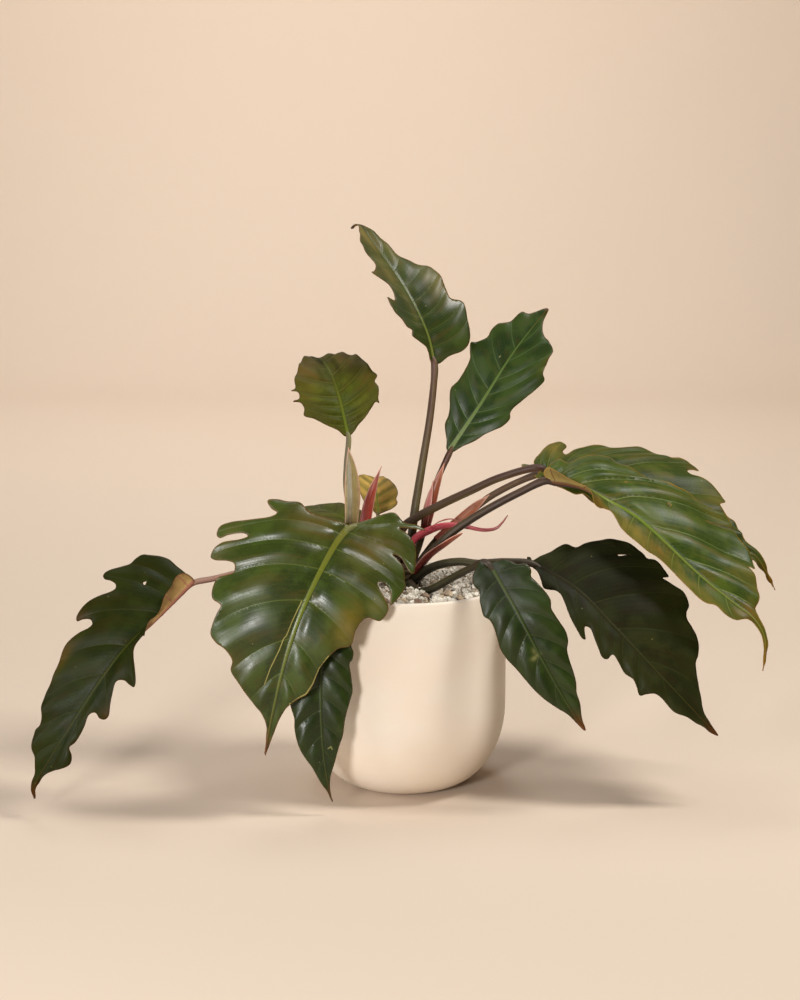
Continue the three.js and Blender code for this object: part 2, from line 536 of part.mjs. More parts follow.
const blades = {
  leaf_top: {
    rib: [[28, 22, 410], [21, 24, 439], [-1, 36, 482], [-32, 57, 524], [-45, 68, 539], [-53, 74, 535]],
    face: [[0.45, -0.85, 0.2], [0.45, -0.8, 0.3], [0.5, -0.75, 0.4], [0.6, -0.6, 0.5]],
    foldRight: [30, 15, 8, 30], foldLeft: [35, 28, 25, 35],
    curlRight: [5, 3, 2, 0], curlLeft: [-1, -1, 0, 0],
    angleRight: [62, 35], angleLeft: [58, 35], sweepRight: 0.45, sweepLeft: 0.3,
    right: [[-22, 30], [-14, 47], [-1, 61], [3, 64], [13, 52], [20, 48], [29, 57], [41, 59], [52, 51], [71, 37],
      [90, 24], [120, 17], [148, 6], [160, 3], [170, 1]],
    left: [[0, 3], [8, 8], [9, 35], [15, 33], [21, 56], [36, 53], [44, 35], [51, 50], [55, 60], [61, 45], [70, 40],
      [80, 37], [86, 56], [99, 48], [127, 26], [148, 10], [160, 3], [170, 1]],
    colour: 'greenLeaf',
  },
  leaf_upper_right: {
    rib: [[43, 25, 324], [73, 33, 368], [107, 49, 419], [140, 68, 458]],
    face: [[-0.1, -0.9, 0.35], [-0.1, -0.9, 0.4], [-0.1, -0.85, 0.5]],
    foldRight: [22, 12, 10, 14], foldLeft: [22, 12, 10, 14],
    curlRight: [4, 3, 2, 0], curlLeft: [4, 3, 2, 0],
    angleRight: [58, 35], angleLeft: [58, 35], sweepRight: 0.25, sweepLeft: 0.25,
    right: [[0, 6], [4, 12], [10, 20], [18, 36], [24, 44], [35, 41], [46, 47], [54, 61], [58, 63], [69, 56], [86, 53],
      [96, 51], [116, 35], [128, 23], [149, 9], [172, 1]],
    left: [[0, 4], [2, 10], [7, 22], [18, 28], [24, 41], [36, 41], [44, 42], [54, 48], [58, 61], [65, 55], [80, 46],
      [94, 46], [111, 34], [129, 29], [139, 20], [160, 8], [172, 1]],
    colour: 'greenLeaf',
  },
  leaf_upper_left: {
    rib: [[-54, -10, 343], [-61, -2, 373], [-69, 14, 396], [-77, 34, 407], [-85, 60, 410], [-90, 90, 398]],
    face: [[0.05, -1, 0.2], [0.05, -0.9, 0.4], [0.1, -0.6, 0.8], [0.1, -0.1, 1]],
    foldRight: [20, 14, 14, 14], foldLeft: [20, 14, 14, 14],
    curlRight: [4, 2, 2, 0], curlLeft: [4, 2, 2, 0],
    angleRight: [60, 40], angleLeft: [72, 40], sweepRight: 0.1, sweepLeft: 0.1,
    right: [[0, 8], [2, 22], [4, 38], [8, 46], [20, 48], [36, 45], [48, 42], [70, 32], [95, 20], [120, 8], [146, 1]],
    left: [[0, 3], [7, 20], [11, 40], [22, 42], [24, 48], [28, 42], [33, 49], [47, 43], [60, 38], [80, 30], [100, 20],
      [122, 8], [146, 1]],
    colour: 'bronzeLeaf',
  },
  leaf_small_back: {
    rib: [[-26, 48, 257], [-28, 58, 277], [-29, 70, 285], [-30, 86, 287], [-32, 100, 280]],
    face: [[0.05, -1, 0.2], [0.05, -0.8, 0.5], [0.05, -0.3, 0.9], [0.1, 0.1, 1]],
    foldRight: [20, 14, 14, 14], foldLeft: [20, 14, 14, 14],
    curlRight: [4, 2, 2, 0], curlLeft: [4, 2, 2, 0],
    angleRight: [60, 40], angleLeft: [60, 40], sweepRight: 0.1, sweepLeft: 0.1,
    right: [[-16, 5], [-14, 14], [-7, 21], [2, 22], [10, 25], [24, 24], [40, 16], [55, 8], [70, 1]],
    left: [[-10, 4], [2, 12], [8, 20], [16, 23], [28, 23], [42, 17], [56, 8], [70, 1]],
    colour: 'bronzeLeaf',
  },
  leaf_large_front: {
    rib: [[-52, -82, 270], [-63, -92, 258], [-83, -111, 224], [-98, -122, 191], [-111, -128, 152],
      [-123, -128, 101], [-130, -124, 63]],
    face: [[0.25, -0.75, 0.6], [0.2, -0.85, 0.5], [0.1, -0.95, 0.3], [0.1, -1, 0.1]],
    foldRight: [14, 8, 10, 14], foldLeft: [16, 12, 10, 14],
    curlRight: [4, 3, 2, 0], curlLeft: [3, 3, 2, 0],
    angleRight: [80, 42], angleLeft: [104, 50], sweepRight: 0.35, sweepLeft: 0.75,
    right: [[-12, 60], [-8, 80], [-4, 74], [-2, 118], [0, 123], [2, 112], [4, 90], [7, 112], [12, 126], [22, 104],
      [32, 89], [36, 106], [42, 110], [50, 104], [62, 89], [72, 96], [80, 93], [98, 73], [114, 60], [122, 60],
      [138, 47], [160, 32], [184, 14], [204, 4], [234, 1]],
    left: [[-57, 34], [-50, 52], [-40, 46], [-30, 67], [-14, 78], [-10, 60], [-5, 78], [10, 85], [22, 66], [27, 80],
      [38, 81], [52, 62], [66, 59], [80, 63], [94, 50], [120, 38], [134, 38], [150, 32], [172, 16], [194, 8],
      [219, 3], [234, 1]],
    colour: 'greenLeaf',
  },
  leaf_lower_left: {
    rib: [[-66, -90, 212], [-73, -101, 174], [-78, -108, 140], [-77, -114, 69], [-71, -113, 25], [-68, -112, 13]],
    face: [[0.1, -0.8, 0.6], [0.05, -1, 0.3], [0.05, -1, 0.1], [0.1, -1, 0]],
    foldRight: [14, 10, 10, 14], foldLeft: [14, 10, 10, 14],
    curlRight: [4, 3, 2, 0], curlLeft: [3, 3, 2, 0],
    angleRight: [62, 35], angleLeft: [62, 35], sweepRight: 0.3, sweepLeft: 0.3,
    right: [[-10, 16], [0, 24], [30, 36], [60, 42], [82, 39], [102, 36], [121, 33], [133, 28], [151, 19], [165, 12],
      [180, 7], [190, 2], [203, 1]],
    left: [[-10, 16], [0, 22], [20, 29], [33, 35], [44, 34], [58, 38], [70, 41], [88, 34], [101, 32], [114, 30],
      [131, 24], [155, 14], [172, 7], [188, 2], [203, 1]],
    colour: 'greenLeaf',
  },
  leaf_far_left: {
    rib: [[-200, -60, 214], [-233, -84, 183], [-266, -102, 152], [-316, -118, 80], [-334, -119, 51],
      [-345, -117, 32], [-347, -114, 16]],
    face: [[-0.3, -0.8, 0.5], [-0.3, -0.9, 0.3], [-0.3, -0.95, 0.2], [-0.2, -1, 0.1]],
    foldRight: [10, 8, 8, 8, 8, 14], foldLeft: [115, 100, 50, 25, 20, 14],
    curlRight: [4, 2, 2, 0], curlLeft: [0, 2, 2, 0],
    angleRight: [74, 40], angleLeft: [64, 40], sweepRight: 0.3, sweepLeft: 0.25,
    right: [[-24, 24], [-20, 60], [-14, 69], [-6, 77], [0, 91], [8, 80], [15, 66], [22, 62], [36, 68], [52, 72],
      [60, 66], [66, 49], [74, 56], [84, 60], [94, 61], [111, 56], [124, 51], [136, 51], [148, 47], [160, 38],
      [175, 38], [188, 34], [200, 27], [212, 18], [231, 8], [250, 4], [262, 1]],
    left: [[-6, 10], [8, 26], [28, 22], [42, 20], [56, 24], [64, 22], [72, 20], [78, 34], [84, 48], [92, 38],
      [104, 23], [114, 25], [124, 36], [134, 34], [141, 20], [150, 16], [166, 19], [180, 20], [190, 28], [200, 24],
      [214, 13], [230, 5], [248, 2], [262, 1]],
    colour: 'greenLeaf',
  },
  leaf_right_front: {
    rib: [[135, -20, 303], [166, -28, 299], [191, -36, 287], [219, -45, 272], [280, -68, 218], [310, -78, 195],
      [326, -84, 183], [336, -88, 165], [335, -90, 133]],
    face: [[-0.1, -0.5, 0.85], [0.1, -0.6, 0.8], [0.3, -0.7, 0.6], [0.4, -0.8, 0.4]],
    foldRight: [85, 75, -10, -15, -15, -10, -10, 10, 10], foldLeft: [10, 6, 6, 10, 14],
    curlRight: [0, 2, 2, 0, 0], curlLeft: [4, 3, 2, 2, 0],
    angleRight: [66, 38], angleLeft: [76, 38], sweepRight: 0.25, sweepLeft: 0.35,
    right: [[-16, 18], [8, 16], [24, 14], [40, 22], [52, 19], [64, 12], [74, 21], [84, 26], [108, 25], [136, 23],
      [166, 25], [178, 24], [200, 20], [212, 18], [225, 12], [236, 4], [262, 3], [292, 1]],
    left: [[-26, 20], [-20, 28], [-10, 34], [4, 32], [8, 56], [14, 64], [24, 65], [38, 67], [48, 70], [58, 84],
      [66, 91], [74, 103], [86, 103], [96, 96], [100, 72], [104, 94], [122, 90], [148, 77], [162, 63], [174, 56],
      [196, 41], [212, 27], [224, 13], [236, 7], [260, 4], [292, 1]],
    colour: 'greenLeaf',
  },
  leaf_right_rear: {
    rib: [[131, 8, 308], [169, 15, 299], [208, 16, 287], [286, 10, 246], [320, 4, 231], [338, 0, 225], [359, -4, 192]],
    face: [[-0.1, -0.5, 0.85], [0.1, -0.6, 0.8], [0.3, -0.7, 0.6], [0.4, -0.8, 0.4]],
    foldRight: [10, 0, -10, -10, 10], foldLeft: [10, 6, 6, 10, 14],
    curlRight: [0, 2, 2, 0, 0], curlLeft: [4, 3, 2, 2, 0],
    angleRight: [66, 38], angleLeft: [76, 38], sweepRight: 0.25, sweepLeft: 0.35,
    right: [[0, 6], [20, 16], [60, 22], [100, 24], [140, 22], [180, 16], [210, 9], [230, 4], [265, 1]],
    left: [[-31, 17], [-10, 38], [0, 54], [7, 52], [12, 37], [17, 48], [24, 68], [32, 73], [38, 86], [50, 91],
      [60, 95], [68, 102], [76, 97], [82, 82], [90, 79], [104, 81], [118, 77], [134, 62], [150, 50], [175, 34],
      [200, 18], [216, 8], [240, 4], [265, 1]],
    colour: 'greenLeaf',
  },
  leaf_right_inner: {
    rib: [[132, 26, 301], [157, 42, 294], [182, 54, 283], [226, 70, 258], [257, 76, 233]],
    face: [[-0.2, -0.3, 0.95], [0.1, -0.4, 0.9], [0.3, -0.4, 0.85]],
    foldRight: [10, 4, 4, 10], foldLeft: [10, 4, 4, 10],
    curlRight: [4, 3, 2, 0], curlLeft: [4, 3, 2, 0],
    angleRight: [66, 38], angleLeft: [66, 38], sweepRight: 0.3, sweepLeft: 0.3,
    right: [[0, 8], [10, 20], [30, 26], [60, 27], [90, 20], [115, 9], [130, 4], [148, 1]],
    left: [[-20, 10], [-5, 20], [10, 27], [30, 30], [60, 30], [90, 22], [115, 10], [130, 4], [148, 1]],
    colour: 'greenLeaf',
  },
  leaf_lower_right: {
    rib: [[120, -48, 229], [160, -64, 208], [199, -77, 171], [244, -86, 124], [295, -88, 70]],
    face: [[0.1, -0.75, 0.6], [0.1, -0.85, 0.5], [0.15, -0.9, 0.4], [0.2, -0.9, 0.3]],
    foldRight: [14, 8, 8, 14], foldLeft: [14, 8, 8, 14],
    curlRight: [4, 3, 2, 0], curlLeft: [4, 3, 2, 0],
    angleRight: [62, 38], angleLeft: [86, 42], sweepRight: 0.25, sweepLeft: 0.3,
    right: [[0, 6], [8, 16], [14, 25], [25, 18], [38, 22], [48, 33], [61, 40], [66, 26], [72, 24], [80, 33],
      [87, 40], [96, 30], [105, 29], [122, 32], [131, 39], [143, 32], [154, 24], [168, 24], [179, 23], [197, 16],
      [214, 10], [234, 4], [243, 1]],
    left: [[-30, 3], [0, 6], [7, 18], [11, 32], [18, 38], [22, 66], [28, 82], [36, 86], [48, 91], [58, 91],
      [62, 82], [66, 79], [76, 90], [84, 90], [98, 75], [105, 69], [118, 67], [132, 62], [145, 51], [154, 41],
      [164, 35], [180, 26], [198, 15], [220, 5], [243, 1]],
    colour: 'shadeLeaf',
  },
  leaf_front_right: {
    rib: [[78, -84, 236], [103, -101, 194], [126, -107, 151], [154, -108, 102], [168, -107, 81]],
    face: [[-0.1, -0.85, 0.5], [-0.1, -0.9, 0.35], [0, -1, 0.2], [0, -1, 0.15]],
    foldRight: [14, 8, 8, 14], foldLeft: [14, 8, 8, 14],
    curlRight: [5, 5, 4, 0], curlLeft: [4, 3, 2, 0],
    angleRight: [72, 42], angleLeft: [58, 34], sweepRight: 0.7, sweepLeft: 0.25,
    right: [[-58, 8], [-29, 13], [-8, 21], [2, 26], [8, 24], [16, 31], [22, 34], [30, 31], [46, 35], [60, 38],
      [74, 35], [90, 32], [105, 28], [121, 23], [140, 15], [152, 10], [165, 5], [183, 1]],
    left: [[-20, 14], [-10, 20], [-5, 36], [3, 39], [9, 36], [20, 41], [28, 45], [36, 41], [49, 44], [57, 46],
      [68, 43], [80, 36], [104, 32], [118, 27], [131, 21], [147, 15], [164, 9], [183, 1]],
    colour: 'greenLeaf',
  },
  leaf_edge_on: {
    rib: [[-52, 20, 252], [-67, 32, 260], [-86, 46, 262], [-122, 72, 250], [-152, 88, 223]],
    face: [[0.1, -0.3, 0.95], [0, -0.3, 0.95], [-0.3, -0.3, 0.9]],
    foldRight: [20, 8, 6, 10], foldLeft: [20, 8, 6, 10],
    curlRight: [4, 3, 2, 0], curlLeft: [4, 3, 2, 0],
    angleRight: [64, 38], angleLeft: [64, 38], sweepRight: 0.3, sweepLeft: 0.3,
    right: [[-14, 12], [0, 22], [20, 28], [45, 29], [70, 24], [95, 13], [112, 5], [130, 1]],
    left: [[-14, 10], [0, 20], [20, 26], [45, 27], [70, 22], [95, 12], [112, 5], [130, 1]],
    colour: 'bronzeLeaf',
  },
};

place('planter', planter(), 'ceramic');
place('potting_soil', pottingSoil(), 'soil');
place('gravel_top_dressing', gravelDressing(), 'pumice');
place('stem', stem(), 'stem');
Object.entries(stalks).forEach(([name, part]) => {
  place(name, stalk(part.route, part.radii[0], part.radii[1], part.steps), part.colour);
});
Object.entries(blades).forEach(([name, part]) => {
  place(name, bladeSolid(part), part.colour);
});
Object.entries(sheaths).forEach(([name, part]) => {
  place(name, sheathSolid(part), part.colour);
});
place('unfurling_shoot', stalk(shoot.route, shoot.radii[0], shoot.radii[1], shoot.steps), 'pinkShoot');

export default plant;
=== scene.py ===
import math
import random

import bmesh
import bpy
import numpy as np
from mathutils.geometry import delaunay_2d_cdt
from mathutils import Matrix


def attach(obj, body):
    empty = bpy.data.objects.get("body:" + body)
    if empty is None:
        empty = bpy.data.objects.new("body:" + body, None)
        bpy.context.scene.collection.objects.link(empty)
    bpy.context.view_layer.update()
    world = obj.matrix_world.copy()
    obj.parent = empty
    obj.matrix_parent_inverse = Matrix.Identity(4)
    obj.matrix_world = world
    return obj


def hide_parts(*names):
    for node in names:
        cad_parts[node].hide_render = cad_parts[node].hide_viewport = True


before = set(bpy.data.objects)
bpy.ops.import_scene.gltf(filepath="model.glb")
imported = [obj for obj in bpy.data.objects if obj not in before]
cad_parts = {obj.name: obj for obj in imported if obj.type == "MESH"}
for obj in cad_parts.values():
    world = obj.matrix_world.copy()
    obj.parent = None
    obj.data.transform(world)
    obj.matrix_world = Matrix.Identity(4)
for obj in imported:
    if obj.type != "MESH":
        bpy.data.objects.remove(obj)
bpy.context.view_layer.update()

# Lengths are written in millimetres and angles in degrees, colours as they look on a screen, 0 to 255
mm = 0.001
body = "root"
farAway = 99.0                # stands for no hole, vein or scar near


# Camera at the photo's height, a little above the leaves, looking slightly down

cameraLook = {"place": (-4.85, -2148.0, 681.9), "tilt": 79.4, "lens": 81.72}


def addCamera(look):
    data = bpy.data.cameras.new("camera")
    data.lens = look["lens"]
    data.clip_end = 30.0
    camera = bpy.data.objects.new("camera", data)
    camera.location = [value * mm for value in look["place"]]
    camera.rotation_euler = (math.radians(look["tilt"]), 0.0, 0.0)
    bpy.context.scene.collection.objects.link(camera)
    bpy.context.scene.camera = camera


addCamera(cameraLook)
print("camera set")


# Small helpers for numbers and curves

def ease(value, low, high):
    share = np.clip((value - low) / (high - low), 0.0, 1.0)
    return share * share * (3.0 - 2.0 * share)


def spread(values, share):
    # the value at each share, 0 at the base to 1 at the tip, of a list spread evenly
    values = np.asarray(values, float)
    stations = np.linspace(0.0, 1.0, len(values))
    if values.ndim == 1:
        return np.interp(share, stations, values)
    return np.stack([np.interp(share, stations, column) for column in values.T], -1)


def softened(values, rounds):
    values = np.array(values, float)
    for _ in range(rounds):
        values[1:-1] = 0.25 * values[:-2] + 0.5 * values[1:-1] + 0.25 * values[2:]
    return values


def splineThrough(points, closed=False, perSpan=24):
    # centripetal Catmull-Rom curve, the same one that carries the stalks of the frame
    points = np.asarray(points, float)
    if closed:
        points = np.vstack([points[-1], points, points[0], points[1]])
    else:
        points = np.vstack([2 * points[0] - points[1], points, 2 * points[-1] - points[-2]])
    steps = np.linspace(0.0, 1.0, perSpan, endpoint=False)[:, None]
    spans = []
    for i in range(len(points) - 3):
        p0, p1, p2, p3 = points[i:i + 4]
        t1 = max(np.linalg.norm(p1 - p0), 1e-6) ** 0.5
        t2 = t1 + max(np.linalg.norm(p2 - p1), 1e-6) ** 0.5
        t3 = t2 + max(np.linalg.norm(p3 - p2), 1e-6) ** 0.5
        t = t1 + (t2 - t1) * steps
        a1 = (t1 - t) / t1 * p0 + t / t1 * p1
        a2 = (t2 - t) / (t2 - t1) * p1 + (t - t1) / (t2 - t1) * p2
        a3 = (t3 - t) / (t3 - t2) * p2 + (t - t2) / (t3 - t2) * p3
        b1 = (t2 - t) / t2 * a1 + t / t2 * a2
        b2 = (t3 - t) / (t3 - t1) * a2 + (t - t1) / (t3 - t1) * a3
        spans.append((t2 - t) / (t2 - t1) * b1 + (t - t1) / (t2 - t1) * b2)
    if not closed:
        spans.append(points[-2][None, :])
    return np.vstack(spans)


def distanceAlong(line):
    return np.concatenate([[0.0], np.cumsum(np.linalg.norm(np.diff(line, axis=0), axis=1))])


def evenSteps(line, step, closed=False):
    line = np.vstack([line, line[:1]]) if closed else line
    walked = distanceAlong(line)
    count = max(int(round(walked[-1] / step)), 2)
    marks = np.linspace(0.0, walked[-1], count + 1)
    marks = marks[:-1] if closed else marks
    return np.stack([np.interp(marks, walked, column) for column in line.T], -1)


def unit(vectors):
    return vectors / np.maximum(np.linalg.norm(vectors, axis=-1, keepdims=True), 1e-9)


# Small helpers for materials

def tone(red, green, blue):
    # a colour as it looks on a screen, turned into the linear colour that the renderer wants
    values = [value / 255.0 for value in (red, green, blue)]
    linear = [v / 12.92 if v < 0.04045 else ((v + 0.055) / 1.055) ** 2.4 for v in values]
    return (*linear, 1.0)


def newFinish(name):
    material = bpy.data.materials.new(name)
    material.use_nodes = True
    return material, material.node_tree, material.node_tree.nodes["Principled BSDF"]


def fill(tree, socket, value):
    if isinstance(value, bpy.types.NodeSocket):
        tree.links.new(value, socket)
    else:
        socket.default_value = value


def sheetValue(tree, name):
    made = tree.nodes.new("ShaderNodeAttribute")
    made.attribute_name = name
    return made.outputs["Fac"]


def sheetVector(tree, name):
    made = tree.nodes.new("ShaderNodeAttribute")
    made.attribute_name = name
    return made.outputs["Vector"]


def ownPlace(tree):
    return tree.nodes.new("ShaderNodeTexCoord").outputs["Object"]


def stretched(tree, vector, scale):
    made = tree.nodes.new("ShaderNodeVectorMath")
    made.operation = "MULTIPLY"
    fill(tree, made.inputs[0], vector)
    made.inputs[1].default_value = scale
    return made.outputs[0]


def speckle(tree, vector, scale, detail=3.0, roughness=0.55, bend=0.0):
    made = tree.nodes.new("ShaderNodeTexNoise")
    fill(tree, made.inputs["Vector"], vector)
    made.inputs["Scale"].default_value = scale
    made.inputs["Detail"].default_value = detail
    made.inputs["Roughness"].default_value = roughness
    made.inputs["Distortion"].default_value = bend
    return made.outputs["Fac"]


def cells(tree, vector, scale, edges=False):
    made = tree.nodes.new("ShaderNodeTexVoronoi")
    made.feature = "DISTANCE_TO_EDGE" if edges else "F1"
    fill(tree, made.inputs["Vector"], vector)
    made.inputs["Scale"].default_value = scale
    return made.outputs["Distance"]


def reckon(tree, operation, a, b=0.0):
    made = tree.nodes.new("ShaderNodeMath")
    made.operation = operation
    fill(tree, made.inputs[0], a)
    fill(tree, made.inputs[1], b)
    return made.outputs[0]


def times(tree, a, b):
    return reckon(tree, "MULTIPLY", a, b)


def plus(tree, a, b):
    return reckon(tree, "ADD", a, b)


def ranged(tree, value, low, high, start=0.0, end=1.0):
    made = tree.nodes.new("ShaderNodeMapRange")
    made.interpolation_type = "SMOOTHSTEP"
    fill(tree, made.inputs["Value"], value)
    made.inputs["From Min"].default_value = low
    made.inputs["From Max"].default_value = high
    made.inputs["To Min"].default_value = start
    made.inputs["To Max"].default_value = end
    return made.outputs["Result"]


def blended(tree, share, first, second, mode="MIX"):
    made = tree.nodes.new("ShaderNodeMix")
    made.data_type = "RGBA"
    made.blend_type = mode
    fill(tree, made.inputs["Factor"], share)
    fill(tree, made.inputs["A"], first)
    fill(tree, made.inputs["B"], second)
    return made.outputs["Result"]


def gradient(tree, value, stops):
    made = tree.nodes.new("ShaderNodeValToRGB")
    fill(tree, made.inputs["Fac"], value)
    ramp = made.color_ramp
    ramp.elements[0].position, ramp.elements[0].color = stops[0]
    ramp.elements[1].position, ramp.elements[1].color = stops[-1]
    for position, colour in stops[1:-1]:
        ramp.elements.new(position).color = colour
    return made.outputs["Color"]


def roughen(tree, shader, height, depth, strength=1.0, under=None):
    # bump of the given depth in millimetres
    made = tree.nodes.new("ShaderNodeBump")
    made.inputs["Strength"].default_value = strength
    made.inputs["Distance"].default_value = depth * mm
    fill(tree, made.inputs["Height"], height)
    if under is not None:
        fill(tree, made.inputs["Normal"], under)
    fill(tree, shader.inputs["Normal"], made.outputs["Normal"])
    return made.outputs["Normal"]


# Small helpers for meshes

def addPiece(name, points, faces, finishes, faceFinish=None, smooth=True):
    mesh = bpy.data.meshes.new(name)
    mesh.from_pydata((np.asarray(points) * mm).tolist(), [], [list(map(int, face)) for face in faces])
    for finish in finishes:
        mesh.materials.append(finish)
    if faceFinish is not None:
        mesh.polygons.foreach_set("material_index", np.asarray(faceFinish, dtype=np.int32))
    mesh.polygons.foreach_set("use_smooth", [smooth] * len(mesh.polygons))
    mesh.update()
    piece = bpy.data.objects.new(name, mesh)
    bpy.context.scene.collection.objects.link(piece)
    return piece


def storeValue(piece, name, values):
    layer = piece.data.attributes.new(name, "FLOAT", "POINT")
    layer.data.foreach_set("value", np.asarray(values, dtype=np.float32).ravel())


def storeVector(piece, name, values):
    layer = piece.data.attributes.new(name, "FLOAT_VECTOR", "POINT")
    layer.data.foreach_set("vector", np.asarray(values, dtype=np.float32).ravel())


def stands(piece, node):
    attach(piece, body)
    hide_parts(node)


def cornerNormals(points, faces):
    faces = np.asarray(faces)
    normals = np.zeros_like(points)
    for i in range(1, faces.shape[1] - 1):
        a, b, c = points[faces[:, 0]], points[faces[:, i]], points[faces[:, i + 1]]
        flat = np.cross(b - a, c - a)
        for k in (0, i, i + 1):
            np.add.at(normals, faces[:, k], flat)
    return unit(normals)


def thickened(points, faces, thickness):
    # a second copy below the sheet, and a strip round every open edge
    points = np.asarray(points, float)
    faces = np.asarray(faces)
    below = points - cornerNormals(points, faces) * np.asarray(thickness).reshape(-1, 1)
    count = len(points)
    owners = {}
    for face in faces.tolist():
        for start, end in zip(face, face[1:] + face[:1]):
            if (end, start) in owners:
                del owners[(end, start)]
            else:
                owners[(start, end)] = True
    top = faces.tolist()
    under = [[index + count for index in reversed(face)] for face in top]
    strip = [[start, start + count, end + count, end] for start, end in owners]
    marks = [0] * len(top) + [1] * len(under) + [0] * len(strip)
    return np.vstack([points, below]), top + under + strip, marks


# Leaf blades. A blade is drawn flat, in millimetres: how far along its midrib, how far out to its own
# right. It is then bent along its midrib, folded and curled, and given its swells, veins and thickness.

bladeLook = {
    "gridStep": 1.75,         # spacing of the sheet's points
    "edgeStep": 1.5,          # spacing of the points round the margin
    "holeStep": 0.9,
    "lineStep": 1.1,          # spacing of the points along a vein or a scar
    "edgeClear": 0.7,         # no point of a line lies closer to the margin
    "thickness": 0.55,
    "edgeThickness": 0.35,
    "keelDepth": 0.8,         # the midrib below the blade, as a share of its width
    "veinKeel": 0.35,
    "veinReach": 14.0,        # a vein is carried on past its lobe, so that it runs out at the margin
    "veinBow": 0.13,          # how far a vein bows backwards, as a share of its length
    "fineVeinDepth": 0.035,
    "swells": 5,              # slow waves over the whole blade: how many, how close, how high
    "swellPitch": 0.11,
    "swellHeight": (0.15, 0.4),
}


def ribOf(leaf, count=241):
    line = splineThrough(leaf["rib"], perSpan=80)
    walked = distanceAlong(line)
    s = np.linspace(0.0, walked[-1], count)
    centre = softened(np.stack([np.interp(s, walked, column) for column in line.T], -1), 10)
    tangent = unit(np.gradient(centre, axis=0))
    share = s / s[-1]
    normal = softened(spread(leaf["face"], share), 200)
    normal = unit(normal - (normal * tangent).sum(1, keepdims=True) * tangent)
    sides = {}
    for side, fold, curl in ((1, "foldRight", "curlRight"), (-1, "foldLeft", "curlLeft")):
        sides[side] = (softened(spread(leaf[fold], share), 200), softened(spread(leaf[curl], share), 200))
    return {"s": s, "length": s[-1], "centre": centre, "tangent": tangent, "normal": normal,
            "right": np.cross(tangent, normal), "sides": sides}


def sampled(rib, key, s):
    return np.stack([np.interp(s, rib["s"], column) for column in rib[key].T], -1)


def bentPoints(rib, s, w, lift):
    inside = np.clip(s, 0.0, rib["length"])
    side = np.where(w >= 0.0, 1.0, -1.0)
    reach = np.abs(w)
    fold = np.zeros_like(s)
    curl = np.zeros_like(s)
    for which, (folds, curls) in rib["sides"].items():
        here = side == which
        fold[here] = np.interp(inside[here], rib["s"], folds)
        curl[here] = np.interp(inside[here], rib["s"], curls)
    fold = np.radians(fold)
    curl = np.radians(curl) / 10.0
    curl = np.where(np.abs(curl) < 1e-5, 1e-5, curl)
    lean = fold - curl * reach
    out = (np.sin(fold) - np.sin(lean)) / curl - lift * np.sin(lean)
    up = (np.cos(lean) - np.cos(fold)) / curl + lift * np.cos(lean)
    tangent = sampled(rib, "tangent", inside)
    return (sampled(rib, "centre", inside) + tangent * (s - inside)[:, None]
            + sampled(rib, "right", inside) * (side * out)[:, None]
            + sampled(rib, "normal", inside) * up[:, None])


def insideLoop(places, loop):
    inside = np.zeros(len(places), bool)
    ends = np.roll(loop, -1, axis=0)
    for (x0, y0), (x1, y1) in zip(loop, ends):
        crosses = (y0 > places[:, 1]) != (y1 > places[:, 1])
        at = x0 + (places[:, 1] - y0) * (x1 - x0) / (y1 - y0 if y1 != y0 else 1e-9)
        inside ^= crosses & (places[:, 0] < at)
    return inside


def gapTo(places, line):
    # distance to a line of points, and on which side of it a place lies: ahead of the line or behind
    best = np.full(len(places), np.inf)
    ahead = np.zeros(len(places))
    for start, end in zip(line[:-1], line[1:]):
        step = end - start
        share = np.clip(((places - start) @ step) / max(step @ step, 1e-9), 0.0, 1.0)
        offset = places - start - share[:, None] * step
        gap = np.hypot(offset[:, 0], offset[:, 1])
        nearer = gap < best
        best[nearer] = gap[nearer]
        ahead[nearer] = np.sign(offset[nearer, 0] * step[1] - offset[nearer, 1] * step[0])
    return best, ahead


def veinLine(start, end, reach):
    # from the midrib, a little backwards first, then on to the end and past it
    first, last = np.array([start, 0.0]), np.array([end[0], abs(end[1])], float)
    chord = last - first
    bow = np.array([-chord[1], chord[0]]) * bladeLook["veinBow"]
    middle = (first + last) / 2 + bow
    t = np.linspace(0.0, 1.0, 25)[:, None]
    line = (1 - t) ** 2 * first + 2 * t * (1 - t) * middle + t ** 2 * last
    ahead = unit(line[-1] - line[-2])
    return np.vstack([line, line[-1] + ahead * reach])


def ribWidth(leaf, length, s):
    # half the width of the midrib
    share = np.clip(s / length, 0.0, 1.0)
    return leaf["ribWidth"] / 2 * (1.0 - 0.86 * share ** 0.7) + 0.12


def nearestGap(places, others, block=400):
    best = np.full(len(places), np.inf)
    for i in range(0, len(others), block):
        part = others[i:i + block]
        gap = np.hypot(places[:, None, 0] - part[None, :, 0], places[:, None, 1] - part[None, :, 1])
        best = np.minimum(best, gap.min(1))
    return best


def onSheet(places, loop, holes):
    inside = insideLoop(places, loop)
    for hole in holes:
        inside &= ~insideLoop(places, hole)
    return inside


def inlaidLines(leaf, veins, length, step):
    # points along the midrib, the side veins and the scars, so that the relief has edges to follow
    ribSteps = np.arange(2.0, length - 3.0, 1.5)
    inlay = []
    for share in (-1.0, -0.5, 0.0, 0.5, 1.0):
        inlay.append(np.stack([ribSteps, share * ribWidth(leaf, length, ribSteps)], -1))
    for side, lines in veins.items():
        for line in lines:
            line = evenSteps(line, step)
            line = line[line[:, 1] > ribWidth(leaf, length, line[:, 0]) + 0.8]
            inlay.append(line * [1, side])
    for line in leaf["scars"]:
        line = evenSteps(np.array(line, float), step)
        inlay += [line, line + [0.9, 0.0], line - [0.9, 0.0]]
    return np.vstack(inlay)


